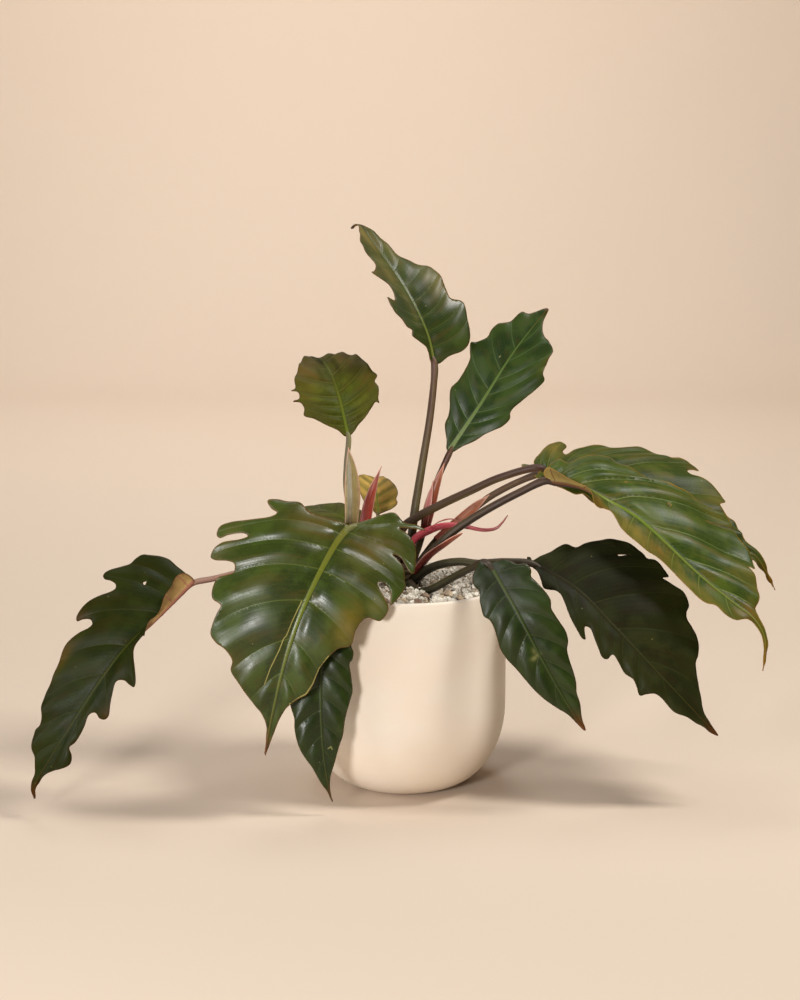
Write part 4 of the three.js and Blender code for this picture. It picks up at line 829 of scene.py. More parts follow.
plainBlade = {
    "foldRight": [14, 8, 8, 14], "foldLeft": [14, 8, 8, 14],      # degrees up from flat, foot to tip
    "curlRight": [4, 3, 2, 0], "curlLeft": [4, 3, 2, 0],          # degrees down for every 10 mm outwards
    # dark marks are painted shade
    "holes": [], "scars": [], "yellow": [], "rust": [], "pale": [], "dark": [],
    "puff": 1.6,              # how far the sheet stands up between two veins
    "droop": 2.5,             # how far the lobes hang
    "ruffle": 0.9,            # height of the ripples along the margin
    "swell": 1.4,             # height of the slow swells over the whole blade
    "calmRight": 1.0, "calmLeft": 1.0,      # share of all that relief on each half
    "fineVeins": 6.0, "ribWidth": 3.4,
}
blades = {
    "top": {
        "slot": "green_leaf", "look": topLook, "seed": 1,
        "rib": [(28, 22, 410), (21, 24, 439), (-1, 36, 482), (-32, 57, 524), (-45, 68, 539),
                (-53, 74, 535)],
        "face": [(0.45, -0.85, 0.2), (0.45, -0.8, 0.3), (0.5, -0.75, 0.4), (0.6, -0.6, 0.5)],
        "foldRight": [30, 15, 8, 30], "foldLeft": [35, 28, 25, 35], "curlRight": [5, 3, 2, 0],
        "curlLeft": [-1, -1, 0, 0],
        "right": [(-2, 4), (3, 16), (5, 29), (10, 37), (19, 42), (29, 44), (38, 47), (45, 47), (52, 37),
                  (60, 38), (70, 40), (79, 41), (86, 38), (98, 25), (108, 17), (118, 14), (136, 11),
                  (145, 9), (153, 4), (170, 0)],
        "left": [(0, -2), (6, -6), (16, -8), (24, -19), (31, -29), (36, -25), (40, -31), (49, -34),
                 (59, -40), (72, -38), (68, -28), (72, -25), (84, -22), (90, -28), (99, -40), (101, -32),
                 (108, -23), (115, -23), (123, -27), (131, -27), (139, -22), (149, -13), (160, -5)],
        "veinsRight": [(3, (9, 34)), (15, (30, 45)), (31, (44, 46)), (45, (60, 38)), (62, (79, 41)),
                       (80, (92, 31)), (98, (112, 16)), (118, (136, 11))],
        "veinsLeft": [(6, (18, -12)), (12, (31, -28)), (24, (42, -32)), (38, (60, -39)), (46, (71, -38)),
                      (62, (88, -25)), (80, (100, -38)), (102, (124, -32)), (118, (136, -29))],
        "yellow": [(76, 32, 22, 12, 0.55), (62, -8, 26, 6, 0.4), (100, -12, 26, 10, 0.55),
                   (142, -8, 24, 14, 0.9), (124, 10, 24, 6, 0.5)],
        "rust": [(60, 40, 16, 5, 0.6), (71, -32, 5, 6, 0.9), (100, -34, 8, 8, 0.6)],
        "dark": [(60, -28, 40, 10, 0.3), (74, 14, 26, 10, 0.35)],
        "droop": 1.2, "ruffle": 0.7, "swell": 1.0, "ribWidth": 3.2, "calmLeft": 0.45,
    },
    "upper_right": {
        "slot": "green_leaf", "look": upperRightLook, "seed": 2,
        "rib": [(43, 25, 324), (73, 33, 368), (107, 49, 419), (140, 68, 458)],
        "face": [(-0.1, -0.9, 0.35), (-0.1, -0.9, 0.4), (-0.1, -0.85, 0.5)],
        "foldRight": [22, 12, 10, 14], "foldLeft": [22, 12, 10, 14],
        "right": [(0, 3), (10, 9), (21, 16), (32, 21), (41, 27), (47, 31), (57, 33), (62, 30), (67, 30),
                  (78, 34), (98, 41), (106, 42), (110, 38), (115, 36), (126, 34), (137, 32), (143, 22),
                  (146, 14), (157, 5), (172, 0)],
        "left": [(-1, -2), (7, -8), (19, -18), (28, -20), (36, -24), (45, -30), (52, -33), (63, -31),
                 (74, -31), (88, -33), (93, -36), (102, -41), (104, -37), (113, -30), (122, -31),
                 (130, -29), (133, -25), (138, -21), (152, -18), (155, -12), (162, -7)],
        "veinsRight": [(5, (18, 14)), (18, (46, 31)), (31, (68, 31)), (44, (99, 42)), (64, (120, 35)),
                       (82, (136, 32)), (104, (145, 18)), (124, (158, 5))],
        "veinsLeft": [(4, (13, -13)), (19, (42, -28)), (34, (57, -33)), (51, (82, -32)), (70, (101, -41)),
                      (92, (124, -31)), (118, (142, -21))],
        "scars": [[(103, -9), (104.5, -8.5)]],
        "yellow": [(122, 36, 16, 5, 0.45)],
        "puff": 0.8, "droop": 1.5, "ruffle": 0.7, "swell": 1.2, "ribWidth": 4.6,
    },
    "upper_left": {
        "slot": "bronze_leaf", "look": youngLook, "seed": 3,
        "rib": [(-54, -10, 343), (-61, -2, 373), (-69, 14, 396), (-77, 34, 407), (-85, 60, 410),
                (-90, 90, 398)],
        "face": [(0.05, -1, 0.2), (0.05, -0.9, 0.4), (0.1, -0.6, 0.8), (0.1, -0.1, 1)],
        "foldRight": [20, 14, 14, 14], "foldLeft": [20, 14, 14, 14], "curlRight": [4, 2, 2, 0],
        "curlLeft": [4, 2, 2, 0],
        "right": [(1, 2), (4, 7), (9, 12), (14, 19), (23, 29), (26, 33), (24, 36), (28, 36), (33, 38),
                  (39, 39), (44, 37), (49, 41), (55, 38), (63, 36), (72, 34), (84, 31), (97, 25),
                  (110, 19), (124, 11), (146, 0)],
        "left": [(1, -3), (8, -9), (15, -19), (23, -29), (28, -38), (35, -36), (41, -38), (44, -45),
                 (46, -38), (53, -38), (55, -44), (58, -39), (68, -37), (78, -31), (88, -26), (101, -19),
                 (114, -12), (130, -5)],
        "veinsRight": [(3, (9, 12)), (11, (25, 32)), (20, (34, 38)), (30, (49, 40)), (45, (66, 35)),
                       (65, (88, 29)), (90, (110, 19))],
        "veinsLeft": [(3, (9, -10)), (11, (25, -31)), (20, (36, -37)), (30, (45, -42)), (40, (56, -42)),
                      (55, (74, -34)), (75, (94, -23)), (98, (115, -11))],
        "rust": [(84, 22, 26, 20, 0.8), (80, -22, 26, 20, 0.75), (52, 34, 10, 8, 0.4)],
        # painted shade in the folds and creases towards the tip
        "dark": [(78, 8, 16, 3, 0.8), (70, -11, 12, 3, 0.6), (92, -3, 16, 4, 0.7), (62, 20, 7, 9, 0.4)],
        "puff": 2.3, "droop": 1.2, "ruffle": 1.2, "swell": 0.7, "fineVeins": 5.0, "ribWidth": 3.0,
    },
    "small_back": {
        "slot": "bronze_leaf", "look": smallBackPaintedLightLook, "seed": 4,
        "rib": [(-26, 48, 257), (-28, 58, 277), (-29, 70, 285), (-30, 86, 287), (-32, 100, 280)],
        "face": [(0.05, -1, 0.2), (0.05, -0.8, 0.5), (0.05, -0.3, 0.9), (0.1, 0.1, 1)],
        "foldRight": [20, 14, 14, 14], "foldLeft": [20, 14, 14, 14], "curlRight": [4, 2, 2, 0],
        "curlLeft": [4, 2, 2, 0],
        "right": [(0, 2), (1, 6), (3, 13), (6, 18), (9, 20), (13, 19), (18, 21), (25, 20), (34, 16),
                  (44, 11), (54, 7), (69, 0)],
        "left": [(0, -2), (7, -8), (12, -13), (19, -16), (26, -18), (35, -18), (44, -17), (54, -12),
                 (62, -5)],
        "veinsRight": [(3, (6, 18)), (9, (17, 20)), (18, (28, 19)), (30, (40, 13)), (44, (54, 7))],
        "veinsLeft": [(3, (9, -10)), (9, (19, -16)), (19, (33, -18)), (31, (46, -16)), (44, (56, -11))],
        "puff": 0.9, "droop": 0.8, "ruffle": 0.5, "swell": 0.4, "fineVeins": 4.0, "ribWidth": 2.2,
    },
    "large_front": {
        "slot": "green_leaf", "look": largeLook, "seed": 5,
        "rib": [(-52, -82, 270), (-63, -92, 258), (-83, -111, 224), (-98, -122, 191), (-111, -128, 152),
                (-123, -128, 101), (-130, -124, 63)],
        "face": [(0.25, -0.75, 0.6), (0.2, -0.85, 0.5), (0.1, -0.95, 0.3), (0.1, -1, 0.1)],
        "foldRight": [14, 8, 10, 14], "foldLeft": [16, 12, 10, 14], "curlLeft": [3, 3, 2, 0],
        "right": [(0, 4), (4, 12), (9, 24), (12, 34), (12, 42), (11, 50), (15, 60), (17, 70), (20, 77),
                  (24, 69), (25, 62), (29, 65), (38, 82), (46, 97), (54, 105), (62, 104), (63, 99),
                  (58, 94), (51, 81), (52, 76), (57, 81), (66, 95), (74, 100), (80, 100), (81, 95),
                  (78, 83), (78, 75), (84, 73), (88, 78), (93, 85), (101, 86), (109, 82), (112, 72),
                  (118, 73), (128, 74), (136, 73), (141, 66), (144, 56), (152, 47), (161, 46), (170, 36),
                  (182, 24), (194, 10), (206, 3), (234, 0)],
        "left": [(-2, -1), (-9, -4), (-18, -9), (-31, -18), (-37, -25), (-36, -38), (-42, -49),
                 (-43, -58), (-37, -50), (-27, -38), (-27, -47), (-23, -59), (-14, -68), (0, -75),
                 (1, -71), (-5, -56), (-3, -49), (-1, -58), (3, -67), (12, -74), (25, -77), (38, -76),
                 (51, -72), (38, -66), (33, -57), (36, -52), (48, -66), (54, -72), (63, -73), (70, -70),
                 (72, -59), (78, -55), (90, -53), (107, -54), (114, -44), (122, -39), (138, -33),
                 (155, -31), (167, -27), (180, -14), (191, -9), (204, -6), (221, -3)],
        "veinsRight": [(2, (18, 72)), (11, (58, 103)), (28, (77, 99)), (50, (95, 85)), (82, (128, 73)),
                       (119, (160, 45)), (152, (184, 22))],
        "veinsLeft": [(1, (-43, -57)), (7, (-6, -73)), (27, (30, -76)), (51, (60, -73)), (81, (104, -54)),
                      (119, (142, -32)), (152, (174, -19))],
        "scars": [[(84, 3.6), (104, 5), (118, 5.5), (121, 7), (132, 8), (150, 11.5), (166, 13)],
                  [(124, -37.2), (139, -32.2), (155, -30.2), (166, -26.4), (179, -13.8)]],
        "yellow": [(92, -44, 24, 12, 0.85), (60, -60, 10, 10, 0.35), (60, 92, 16, 9, 0.3),
                   (80, 94, 8, 8, 0.3)],
        "rust": [(152, 44, 12, 10, 0.5), (92, -52, 18, 5, 0.5), (8, -30, 28, 22, 0.7),
                 (8, 30, 24, 26, 0.7)],
        "dark": [(110, 20, 30, 14, 0.45), (150, 10, 40, 10, 0.3), (60, 86, 6, 6, 0.2)],
        "puff": 2.3, "droop": 3.0, "ruffle": 1.2, "swell": 1.6, "fineVeins": 8.0, "ribWidth": 6.4,
    },
    "lower_left": {
        "slot": "green_leaf", "look": glossyLook, "seed": 6,
        "rib": [(-66, -90, 212), (-73, -101, 174), (-78, -108, 140), (-77, -114, 69), (-71, -113, 25),
                (-68, -112, 13)],
        "face": [(0.1, -0.8, 0.6), (0.05, -1, 0.3), (0.05, -1, 0.1), (0.1, -1, 0)],
        "foldRight": [14, 10, 10, 14], "foldLeft": [14, 10, 10, 14], "curlLeft": [3, 3, 2, 0],
        "right": [(-2, 4), (-9, 12), (-6, 22), (6, 28), (24, 31), (45, 33), (66, 32), (88, 30), (104, 29),
                  (112, 27), (119, 25), (128, 25), (137, 24), (146, 22), (155, 18), (166, 12), (174, 9),
                  (183, 6), (192, 2), (203, 0)],
        "left": [(-2, -4), (-9, -12), (-7, -20), (4, -24), (22, -26), (40, -25), (49, -25), (54, -28),
                 (62, -28), (66, -26), (78, -28), (94, -30), (100, -29), (113, -25), (125, -22),
                 (137, -20), (150, -15), (166, -9), (177, -4), (190, -1)],
        "veinsRight": [(2, (-6, 20)), (18, (26, 31)), (40, (58, 33)), (64, (86, 30)), (90, (110, 27)),
                       (113, (132, 25)), (137, (156, 17)), (160, (175, 9))],
        "veinsLeft": [(2, (-6, -19)), (18, (24, -26)), (38, (56, -28)), (58, (78, -28)), (78, (100, -29)),
                      (100, (120, -23)), (125, (144, -17)), (150, (168, -8))],
        "scars": [[(150, -5), (148, -8), (151, -9)]],
        "droop": 2.2, "swell": 1.0,
    },
    "far_left": {
        "slot": "green_leaf", "look": farLeftLook, "seed": 7,
        "rib": [(-200, -60, 214), (-233, -84, 183), (-266, -102, 152), (-316, -118, 80), (-334, -119, 51),
                (-345, -117, 32), (-347, -114, 16)],
        "face": [(-0.3, -0.8, 0.5), (-0.3, -0.9, 0.3), (-0.3, -0.95, 0.2), (-0.2, -1, 0.1)],
        "foldRight": [10, 8, 8, 8, 8, 14], "foldLeft": [115, 92, 32, 22, 20, 14],
        "curlRight": [4, 2, 2, 0], "curlLeft": [0, 2, 2, 0],
        "right": [(-1, 4), (-2, 14), (-3, 26), (-4, 36), (-2, 46), (2, 56), (6, 66), (12, 68), (20, 67),
                  (29, 72), (38, 76), (49, 76), (52, 71), (49, 65), (49, 58), (53, 54), (60, 54),
                  (70, 57), (82, 60), (91, 60), (98, 58), (100, 55), (96, 52), (92, 46), (94, 41),
                  (98, 41), (106, 45), (119, 48), (131, 47), (146, 42), (156, 39), (169, 38), (179, 35),
                  (186, 29), (196, 26), (202, 27), (212, 23), (220, 18), (225, 12), (237, 5), (246, 4),
                  (262, 0)],
        "left": [(-1, -3), (3, -14), (12, -20), (24, -18), (34, -17), (42, -11), (52, -5), (60, -10),
                 (69, -24), (74, -25), (74, -16), (81, -15), (89, -19), (99, -32), (109, -40), (114, -40),
                 (115, -33), (115, -25), (120, -19), (130, -21), (140, -24), (150, -29), (155, -27),
                 (157, -22), (155, -16), (160, -12), (171, -14), (189, -13), (195, -12), (200, -17),
                 (207, -20), (215, -17), (223, -9), (230, -5), (246, -2)],
        "veinsRight": [(4, (-3, 46)), (16, (20, 67)), (28, (48, 76)), (44, (99, 56)), (88, (134, 46)),
                       (121, (172, 37)), (161, (204, 26)), (196, (224, 14))],
        "veinsLeft": [(8, (12, -20)), (30, (34, -17)), (58, (72, -24)), (88, (113, -40)),
                      (122, (154, -28)), (168, (208, -20))],
        "holes": [[(28, 34), (32, 33), (31, 36)]],
        "yellow": [(136, 44, 20, 6, 0.4)],
        "rust": [(134, 45, 16, 5, 0.5), (98, 55, 8, 6, 0.4), (150, -26, 8, 6, 0.4)],
        "ruffle": 1.2, "fineVeins": 7.0, "ribWidth": 3.6,
    },
    "right_front": {
        "slot": "green_leaf", "look": stripedLook, "seed": 8,
        "rib": [(135, -20, 303), (166, -28, 299), (191, -36, 287), (219, -45, 272), (280, -68, 218),
                (310, -78, 195), (326, -84, 183), (336, -88, 165), (335, -90, 133)],
        "face": [(-0.1, -0.5, 0.85), (0.1, -0.6, 0.8), (0.3, -0.7, 0.6), (0.4, -0.8, 0.4)],
        "foldRight": [85, 75, -10, -15, -15, -10, -10, 10, 10], "foldLeft": [10, 6, 6, 10, 14],
        "curlRight": [0, 2, 2, 0, 0], "curlLeft": [4, 3, 2, 2, 0],
        "right": [(-1, 3), (-3, 10), (2, 19), (13, 14), (23, 8), (34, 5), (44, 12), (54, 24), (61, 19),
                  (66, 12), (71, 11), (78, 14), (88, 19), (98, 20), (111, 20), (124, 19), (133, 17),
                  (151, 16), (175, 18), (195, 18), (204, 14), (216, 15), (227, 13), (236, 5), (256, 3),
                  (292, 0)],
        "left": [(0, -3), (-4, -10), (-3, -19), (-2, -27), (6, -33), (14, -29), (23, -39), (34, -52),
                 (42, -56), (48, -53), (57, -57), (72, -56), (85, -57), (100, -63), (112, -70),
                 (121, -71), (136, -77), (152, -77), (163, -74), (154, -64), (141, -54), (156, -61),
                 (168, -69), (176, -64), (196, -59), (205, -52), (211, -44), (205, -42), (214, -38),
                 (227, -27), (232, -18), (234, -9), (240, -5), (262, -3)],
        "veinsRight": [(10, (4, 18)), (36, (54, 23)), (63, (70, 11)), (92, (98, 20)), (112, (124, 19)),
                       (142, (153, 16)), (174, (190, 18)), (205, (226, 13))],
        "veinsLeft": [(0, (0, -30)), (6, (40, -55)), (14, (80, -57)), (30, (126, -73)), (64, (162, -75)),
                      (105, (208, -49)), (150, (226, -28)), (193, (234, -10))],
        "holes": [[(66, -31), (68, -30), (67, -32)], [(106, -38), (109, -36), (108, -39)]],
        "yellow": [(100, 14, 56, 8, 0.8), (180, 14, 50, 5, 0.5), (150, -68, 30, 7, 0.4),
                   (216, -32, 20, 9, 0.5)],
        "rust": [(56, 20, 10, 9, 0.9), (30, 6, 20, 8, 0.6), (236, 0, 14, 12, 0.5),
                 (132, 12, 14, 6, 0.35)],
        "puff": 2.4, "fineVeins": 8.0, "ribWidth": 4.6, "calmRight": 0.35,
    },
    "right_rear": {
        "slot": "green_leaf", "look": rightRearLook, "seed": 9,
        "rib": [(131, 8, 308), (169, 15, 299), (208, 16, 287), (286, 10, 246), (320, 4, 231),
                (338, 0, 225), (359, -4, 192)],
        "face": [(-0.1, -0.5, 0.85), (0.1, -0.6, 0.8), (0.3, -0.7, 0.6), (0.4, -0.8, 0.4)],
        "foldRight": [10, 0, -10, -10, 10], "foldLeft": [10, 6, 6, 10, 14], "curlRight": [0, 2, 2, 0, 0],
        "curlLeft": [4, 3, 2, 2, 0],
        "right": [(-2, 4), (-8, 12), (0, 18), (20, 22), (34, 24), (46, 20), (60, 26), (90, 27), (104, 23),
                  (116, 27), (140, 26), (156, 21), (170, 22), (186, 16), (200, 10), (216, 7), (234, 4),
                  (266, 0)],
        "left": [(0, -3), (-6, -8), (-4, -17), (2, -27), (8, -37), (16, -46), (25, -52), (29, -49),
                 (30, -44), (26, -35), (28, -31), (36, -41), (44, -48), (54, -57), (61, -60), (70, -59),
                 (80, -66), (87, -72), (97, -74), (104, -74), (114, -72), (123, -78), (132, -80),
                 (140, -77), (144, -71), (138, -70), (134, -65), (138, -61), (147, -62), (161, -60),
                 (173, -55), (180, -47), (176, -40), (186, -31), (196, -29), (204, -21), (216, -11),
                 (230, -6), (250, -2)],
        "veinsRight": [(14, (24, 22)), (36, (62, 26)), (62, (92, 27)), (92, (118, 27)), (126, (150, 24)),
                       (160, (184, 17)), (190, (212, 8))],
        "veinsLeft": [(0, (9, -38)), (6, (27, -50)), (20, (60, -60)), (34, (98, -74)), (58, (134, -79)),
                      (98, (176, -52)), (140, (202, -24)), (180, (222, -9))],
        "yellow": [(16, -40, 16, 16, 0.8), (168, -50, 14, 12, 0.5)],
        "rust": [(140, -72, 10, 6, 0.4)],
        "puff": 2.4, "ruffle": 1.4, "fineVeins": 8.0, "ribWidth": 4.4,
    },
    "right_inner": {
        "slot": "green_leaf", "look": stripedLook, "seed": 10,
        "rib": [(132, 26, 301), (157, 42, 294), (182, 54, 283), (226, 70, 258), (257, 76, 233)],
        "face": [(-0.2, -0.3, 0.95), (0.1, -0.4, 0.9), (0.3, -0.4, 0.85)],
        "foldRight": [10, 4, 4, 10], "foldLeft": [10, 4, 4, 10],
        "right": [(1, 3), (-4, 12), (2, 22), (14, 25), (22, 29), (30, 26), (45, 30), (58, 29), (66, 24),
                  (82, 25), (98, 17), (115, 9), (132, 3), (148, 0)],
        "left": [(-1, -4), (-10, -12), (-9, -22), (6, -30), (20, -33), (28, -29), (44, -33), (60, -31),
                 (70, -25), (88, -24), (102, -15), (116, -9), (134, -3)],
        "veinsRight": [(4, (2, 20)), (12, (22, 28)), (28, (48, 30)), (50, (80, 25)), (78, (102, 14))],
        "veinsLeft": [(2, (-8, -21)), (8, (20, -32)), (26, (50, -33)), (48, (84, -24)), (76, (104, -14))],
        "puff": 1.4, "droop": 1.6, "ruffle": 1.0, "swell": 0.8,
    },
    "lower_right": {
        "slot": "shade_leaf", "look": paintedShadeLook, "seed": 11,
        "rib": [(120, -48, 229), (160, -64, 208), (199, -77, 171), (244, -86, 124), (295, -88, 70)],
        "face": [(0.1, -0.75, 0.6), (0.1, -0.85, 0.5), (0.15, -0.9, 0.4), (0.2, -0.9, 0.3)],
        "right": [(0, 3), (10, 7), (17, 13), (24, 19), (34, 15), (41, 15), (50, 19), (60, 24), (70, 28),
                  (79, 30), (88, 31), (90, 29), (85, 25), (81, 21), (85, 19), (95, 23), (104, 27),
                  (112, 30), (117, 27), (117, 21), (125, 22), (136, 24), (146, 23), (154, 25), (162, 28),
                  (166, 22), (171, 17), (178, 15), (196, 15), (209, 10), (222, 6), (243, 0)],
        "left": [(-7, -2), (-4, -4), (-1, -2), (3, -9), (9, -18), (14, -29), (18, -34), (27, -36),
                 (31, -44), (39, -56), (47, -67), (55, -73), (70, -77), (74, -75), (80, -80), (89, -81),
                 (98, -80), (103, -77), (99, -71), (104, -71), (113, -73), (122, -76), (130, -75),
                 (136, -70), (138, -62), (142, -57), (152, -55), (162, -53), (170, -48), (175, -40),
                 (178, -33), (186, -27), (196, -21), (207, -12), (220, -5)],
        "veinsRight": [(6, (18, 14)), (24, (50, 19)), (49, (88, 30)), (83, (115, 29)), (112, (138, 24)),
                       (134, (163, 27)), (166, (196, 15))],
        "veinsLeft": [(3, (24, -35)), (20, (58, -74)), (44, (92, -80)), (70, (128, -75)),
                      (103, (167, -50)), (144, (198, -19))],
        "holes": [[(56, -54), (60, -60), (64, -65), (61, -61), (58, -55)]],
        # painted shadow cast by the right front leaf over the upper left of this blade
        "dark": [(60, -40, 52, 42, 1.0), (30, 6, 40, 22, 0.7), (96, -56, 20, 20, 0.6)],
        "puff": 1.1, "ruffle": 1.2, "swell": 1.6, "fineVeins": 7.0, "ribWidth": 3.6,
    },
    "front_right": {
        "slot": "green_leaf", "look": frontRightLook, "seed": 12,
        "rib": [(78, -84, 236), (103, -101, 194), (126, -107, 151), (154, -108, 102), (168, -107, 81)],
        "face": [(-0.1, -0.85, 0.5), (-0.1, -0.9, 0.35), (0, -1, 0.2), (0, -1, 0.15)],
        "curlRight": [5, 5, 4, 0],
        "right": [(-2, 2), (-6, 7), (-2, 13), (5, 21), (12, 23), (19, 21), (26, 25), (32, 27), (41, 29),
                  (47, 26), (56, 26), (67, 28), (77, 30), (86, 29), (97, 26), (111, 23), (125, 20),
                  (137, 16), (150, 10), (160, 5), (183, 0)],
        "left": [(0, -2), (2, -7), (3, -13), (8, -18), (14, -23), (18, -30), (25, -31), (30, -28),
                 (38, -30), (52, -33), (58, -33), (64, -30), (70, -30), (79, -31), (89, -32), (98, -30),
                 (106, -25), (116, -22), (127, -20), (138, -17), (146, -13), (158, -10), (171, -4)],
        "veinsRight": [(2, (6, 21)), (18, (27, 25)), (34, (46, 27)), (52, (77, 30)), (74, (100, 26)),
                       (97, (128, 19)), (128, (152, 9))],
        "veinsLeft": [(3, (4, -13)), (12, (22, -31)), (28, (52, -33)), (50, (84, -32)), (76, (106, -25)),
                      (102, (134, -18)), (130, (156, -11))],
        "rust": [(174, 0, 12, 6, 0.7)],
        "pale": [(92, 3, 3, 2, 0.5), (98, 6, 2, 3, 0.7), (97, 2, 2, 3, 0.6)],
        # painted shade over the upper part of the blade
        "dark": [(16, 4, 42, 34, 0.75)],
        "puff": 1.7, "droop": 2.0, "ruffle": 1.0, "swell": 1.0,
    },
    "edge_on": {
        "slot": "bronze_leaf", "look": youngLook, "seed": 13,
        "rib": [(-52, 20, 252), (-67, 32, 260), (-86, 46, 262), (-122, 72, 250), (-152, 88, 223)],
        "face": [(0.1, -0.06, 1.0), (0, -0.06, 1.0), (-0.3, -0.06, 0.95)],
        "foldRight": [20, 8, 6, 10], "foldLeft": [16, 4, 2, 8],
        "right": [(0, 3), (-7, 10), (-7, 19), (4, 25), (16, 28), (24, 25), (38, 30), (48, 29), (54, 24),
                  (70, 24), (84, 18), (98, 12), (114, 5), (130, 0)],
        "left": [(0, -3), (-7, -9), (-6, -17), (6, -23), (18, -26), (26, -23), (40, -28), (52, -25),
                 (62, -20), (74, -21), (90, -14), (104, -8), (118, -3)],
        "veinsRight": [(3, (-4, 20)), (8, (17, 27)), (22, (44, 29)), (42, (70, 24)), (66, (94, 14))],
        "veinsLeft": [(3, (-4, -18)), (8, (18, -25)), (24, (44, -27)), (44, (72, -21)), (68, (94, -12))],
        "puff": 1.1, "droop": 1.2, "ruffle": 0.8, "swell": 0.7, "fineVeins": 5.0, "ribWidth": 2.6,
    },
}


def bladeNamed(name):
    return {**plainBlade, **blades[name]}


for bladeName in blades:
    addBlade(bladeName, bladeNamed(bladeName))
print("blades grown:", len(blades))


# Stage: a seamless pale sweep, a soft key high on the right, a low light from the front left that gives the
# drooping blades their shine, a fill, and a pale surrounding

stageLook = {
    "sweep": tone(232, 213, 193), "cloud": tone(228, 206, 182), "width": 9000.0,
    "front": -5000.0, "back": 2700.0, "bend": 1000.0, "height": 3600.0,
    "floorShade": 0.84,       # the floor lies under the lamps, so it is toned down to match the wall
    "floorDepth": 2600.0,     # and less so further back, until here
    "surround": tone(190, 184, 178), "surroundShare": 0.16,
}
plantMiddle = (0.0, -40.0, 280.0)
lamps = {
    "key": {"place": (1060.0, -250.0, 1820.0), "aim": plantMiddle, "size": 460.0, "power": 29.0,
            "colour": (1.0, 0.98, 0.95)},
    "fill": {"place": (-2000.0, -800.0, 900.0), "aim": plantMiddle, "size": 1100.0, "power": 19.0,
             "colour": (1.0, 0.98, 0.96)},
    "front": {"place": (-760.0, -1950.0, 640.0), "aim": plantMiddle, "size": 400.0, "power": 29.0,
              "colour": (1.0, 0.99, 0.98)},
    "top": {"place": (-200.0, 600.0, 2100.0), "aim": plantMiddle, "size": 900.0, "power": 9.0,
            "colour": (0.92, 0.96, 1.0)},
    "wall": {"place": (-300.0, 1500.0, 2600.0), "aim": (0.0, 4200.0, 700.0), "size": 900.0, "power": 55.0,
             "colour": (1.0, 0.98, 0.96)},
}


def sweepFinish(look):
    material, tree, shader = newFinish("sweep_paper")
    cloud = ranged(tree, speckle(tree, ownPlace(tree), 0.8, 2.0), 0.3, 0.7, 0.0, 0.12)
    paper = blended(tree, cloud, look["sweep"], look["cloud"])
    depth = tree.nodes.new("ShaderNodeSeparateXYZ")
    fill(tree, depth.inputs[0], ownPlace(tree))
    lying = ranged(tree, depth.outputs[1], 0.0, look["floorDepth"] * mm, 1.0, 0.0)
    toned = blended(tree, 1.0, paper, [look["floorShade"]] * 3 + [1.0], "MULTIPLY")
    fill(tree, shader.inputs["Base Color"], blended(tree, lying, paper, toned))
    shader.inputs["Roughness"].default_value = 0.9
    shader.inputs["Specular IOR Level"].default_value = 0.1
    return material


def addSweep(look, bendSteps=24):
    # floor, quarter round and wall in one sheet
    profile = [(look["front"], 0.0), (look["back"], 0.0)]
    for i in range(1, bendSteps + 1):
        turn = math.pi / 2 * i / bendSteps
        profile.append((look["back"] + look["bend"] * math.sin(turn), look["bend"] * (1 - math.cos(turn))))
    profile.append((look["back"] + look["bend"], look["height"]))
    half = look["width"] / 2
    points = [(x, y, z) for y, z in profile for x in (-half, half)]
    faces = [(2 * i, 2 * i + 1, 2 * i + 3, 2 * i + 2) for i in range(len(profile) - 1)]
    addPiece("sweep", points, faces, [sweepFinish(look)])


def addLamp(name, look):
    data = bpy.data.lights.new(name, "AREA")
    data.shape = "DISK"
    data.size = look["size"] * mm
    data.energy = look["power"]
    data.color = look["colour"]
    lamp = bpy.data.objects.new(name, data)
    lamp.location = [value * mm for value in look["place"]]
    lamp.visible_camera = False
    away = np.array(look["place"]) - np.array(look["aim"])
    across = math.hypot(away[0], away[1])
    lamp.rotation_euler = (math.atan2(across, away[2]), 0.0, math.atan2(away[0], -away[1]))
    bpy.context.scene.collection.objects.link(lamp)


def addSurround(look):
    world = bpy.data.worlds.new("surround")
    world.use_nodes = True
    back = world.node_tree.nodes["Background"]
    back.inputs["Color"].default_value = look["surround"]
    back.inputs["Strength"].default_value = look["surroundShare"]
    bpy.context.scene.world = world
    bpy.context.scene.view_settings.view_transform = "Standard"


addSweep(stageLook)
for lampName, lamp in lamps.items():
    addLamp(lampName, lamp)
addSurround(stageLook)
print("stage and lights set")


# Planter: turned from the same profile as the frame's, in finer steps and with a softly rounded lip

planterLook = {
    "radius": 98.0, "height": 200.0, "foot": 40.0, "round": 80.0, "wall": 5.0, "floor": 8.0,
    "footRise": 1.2,          # the middle of the foot is hollowed this much
    "segments": 192, "wobble": 0.12,
    "glaze": tone(230, 218, 202), "warm": tone(230, 212, 190), "fleck": tone(206, 182, 154),
    "roughness": 0.46,
}


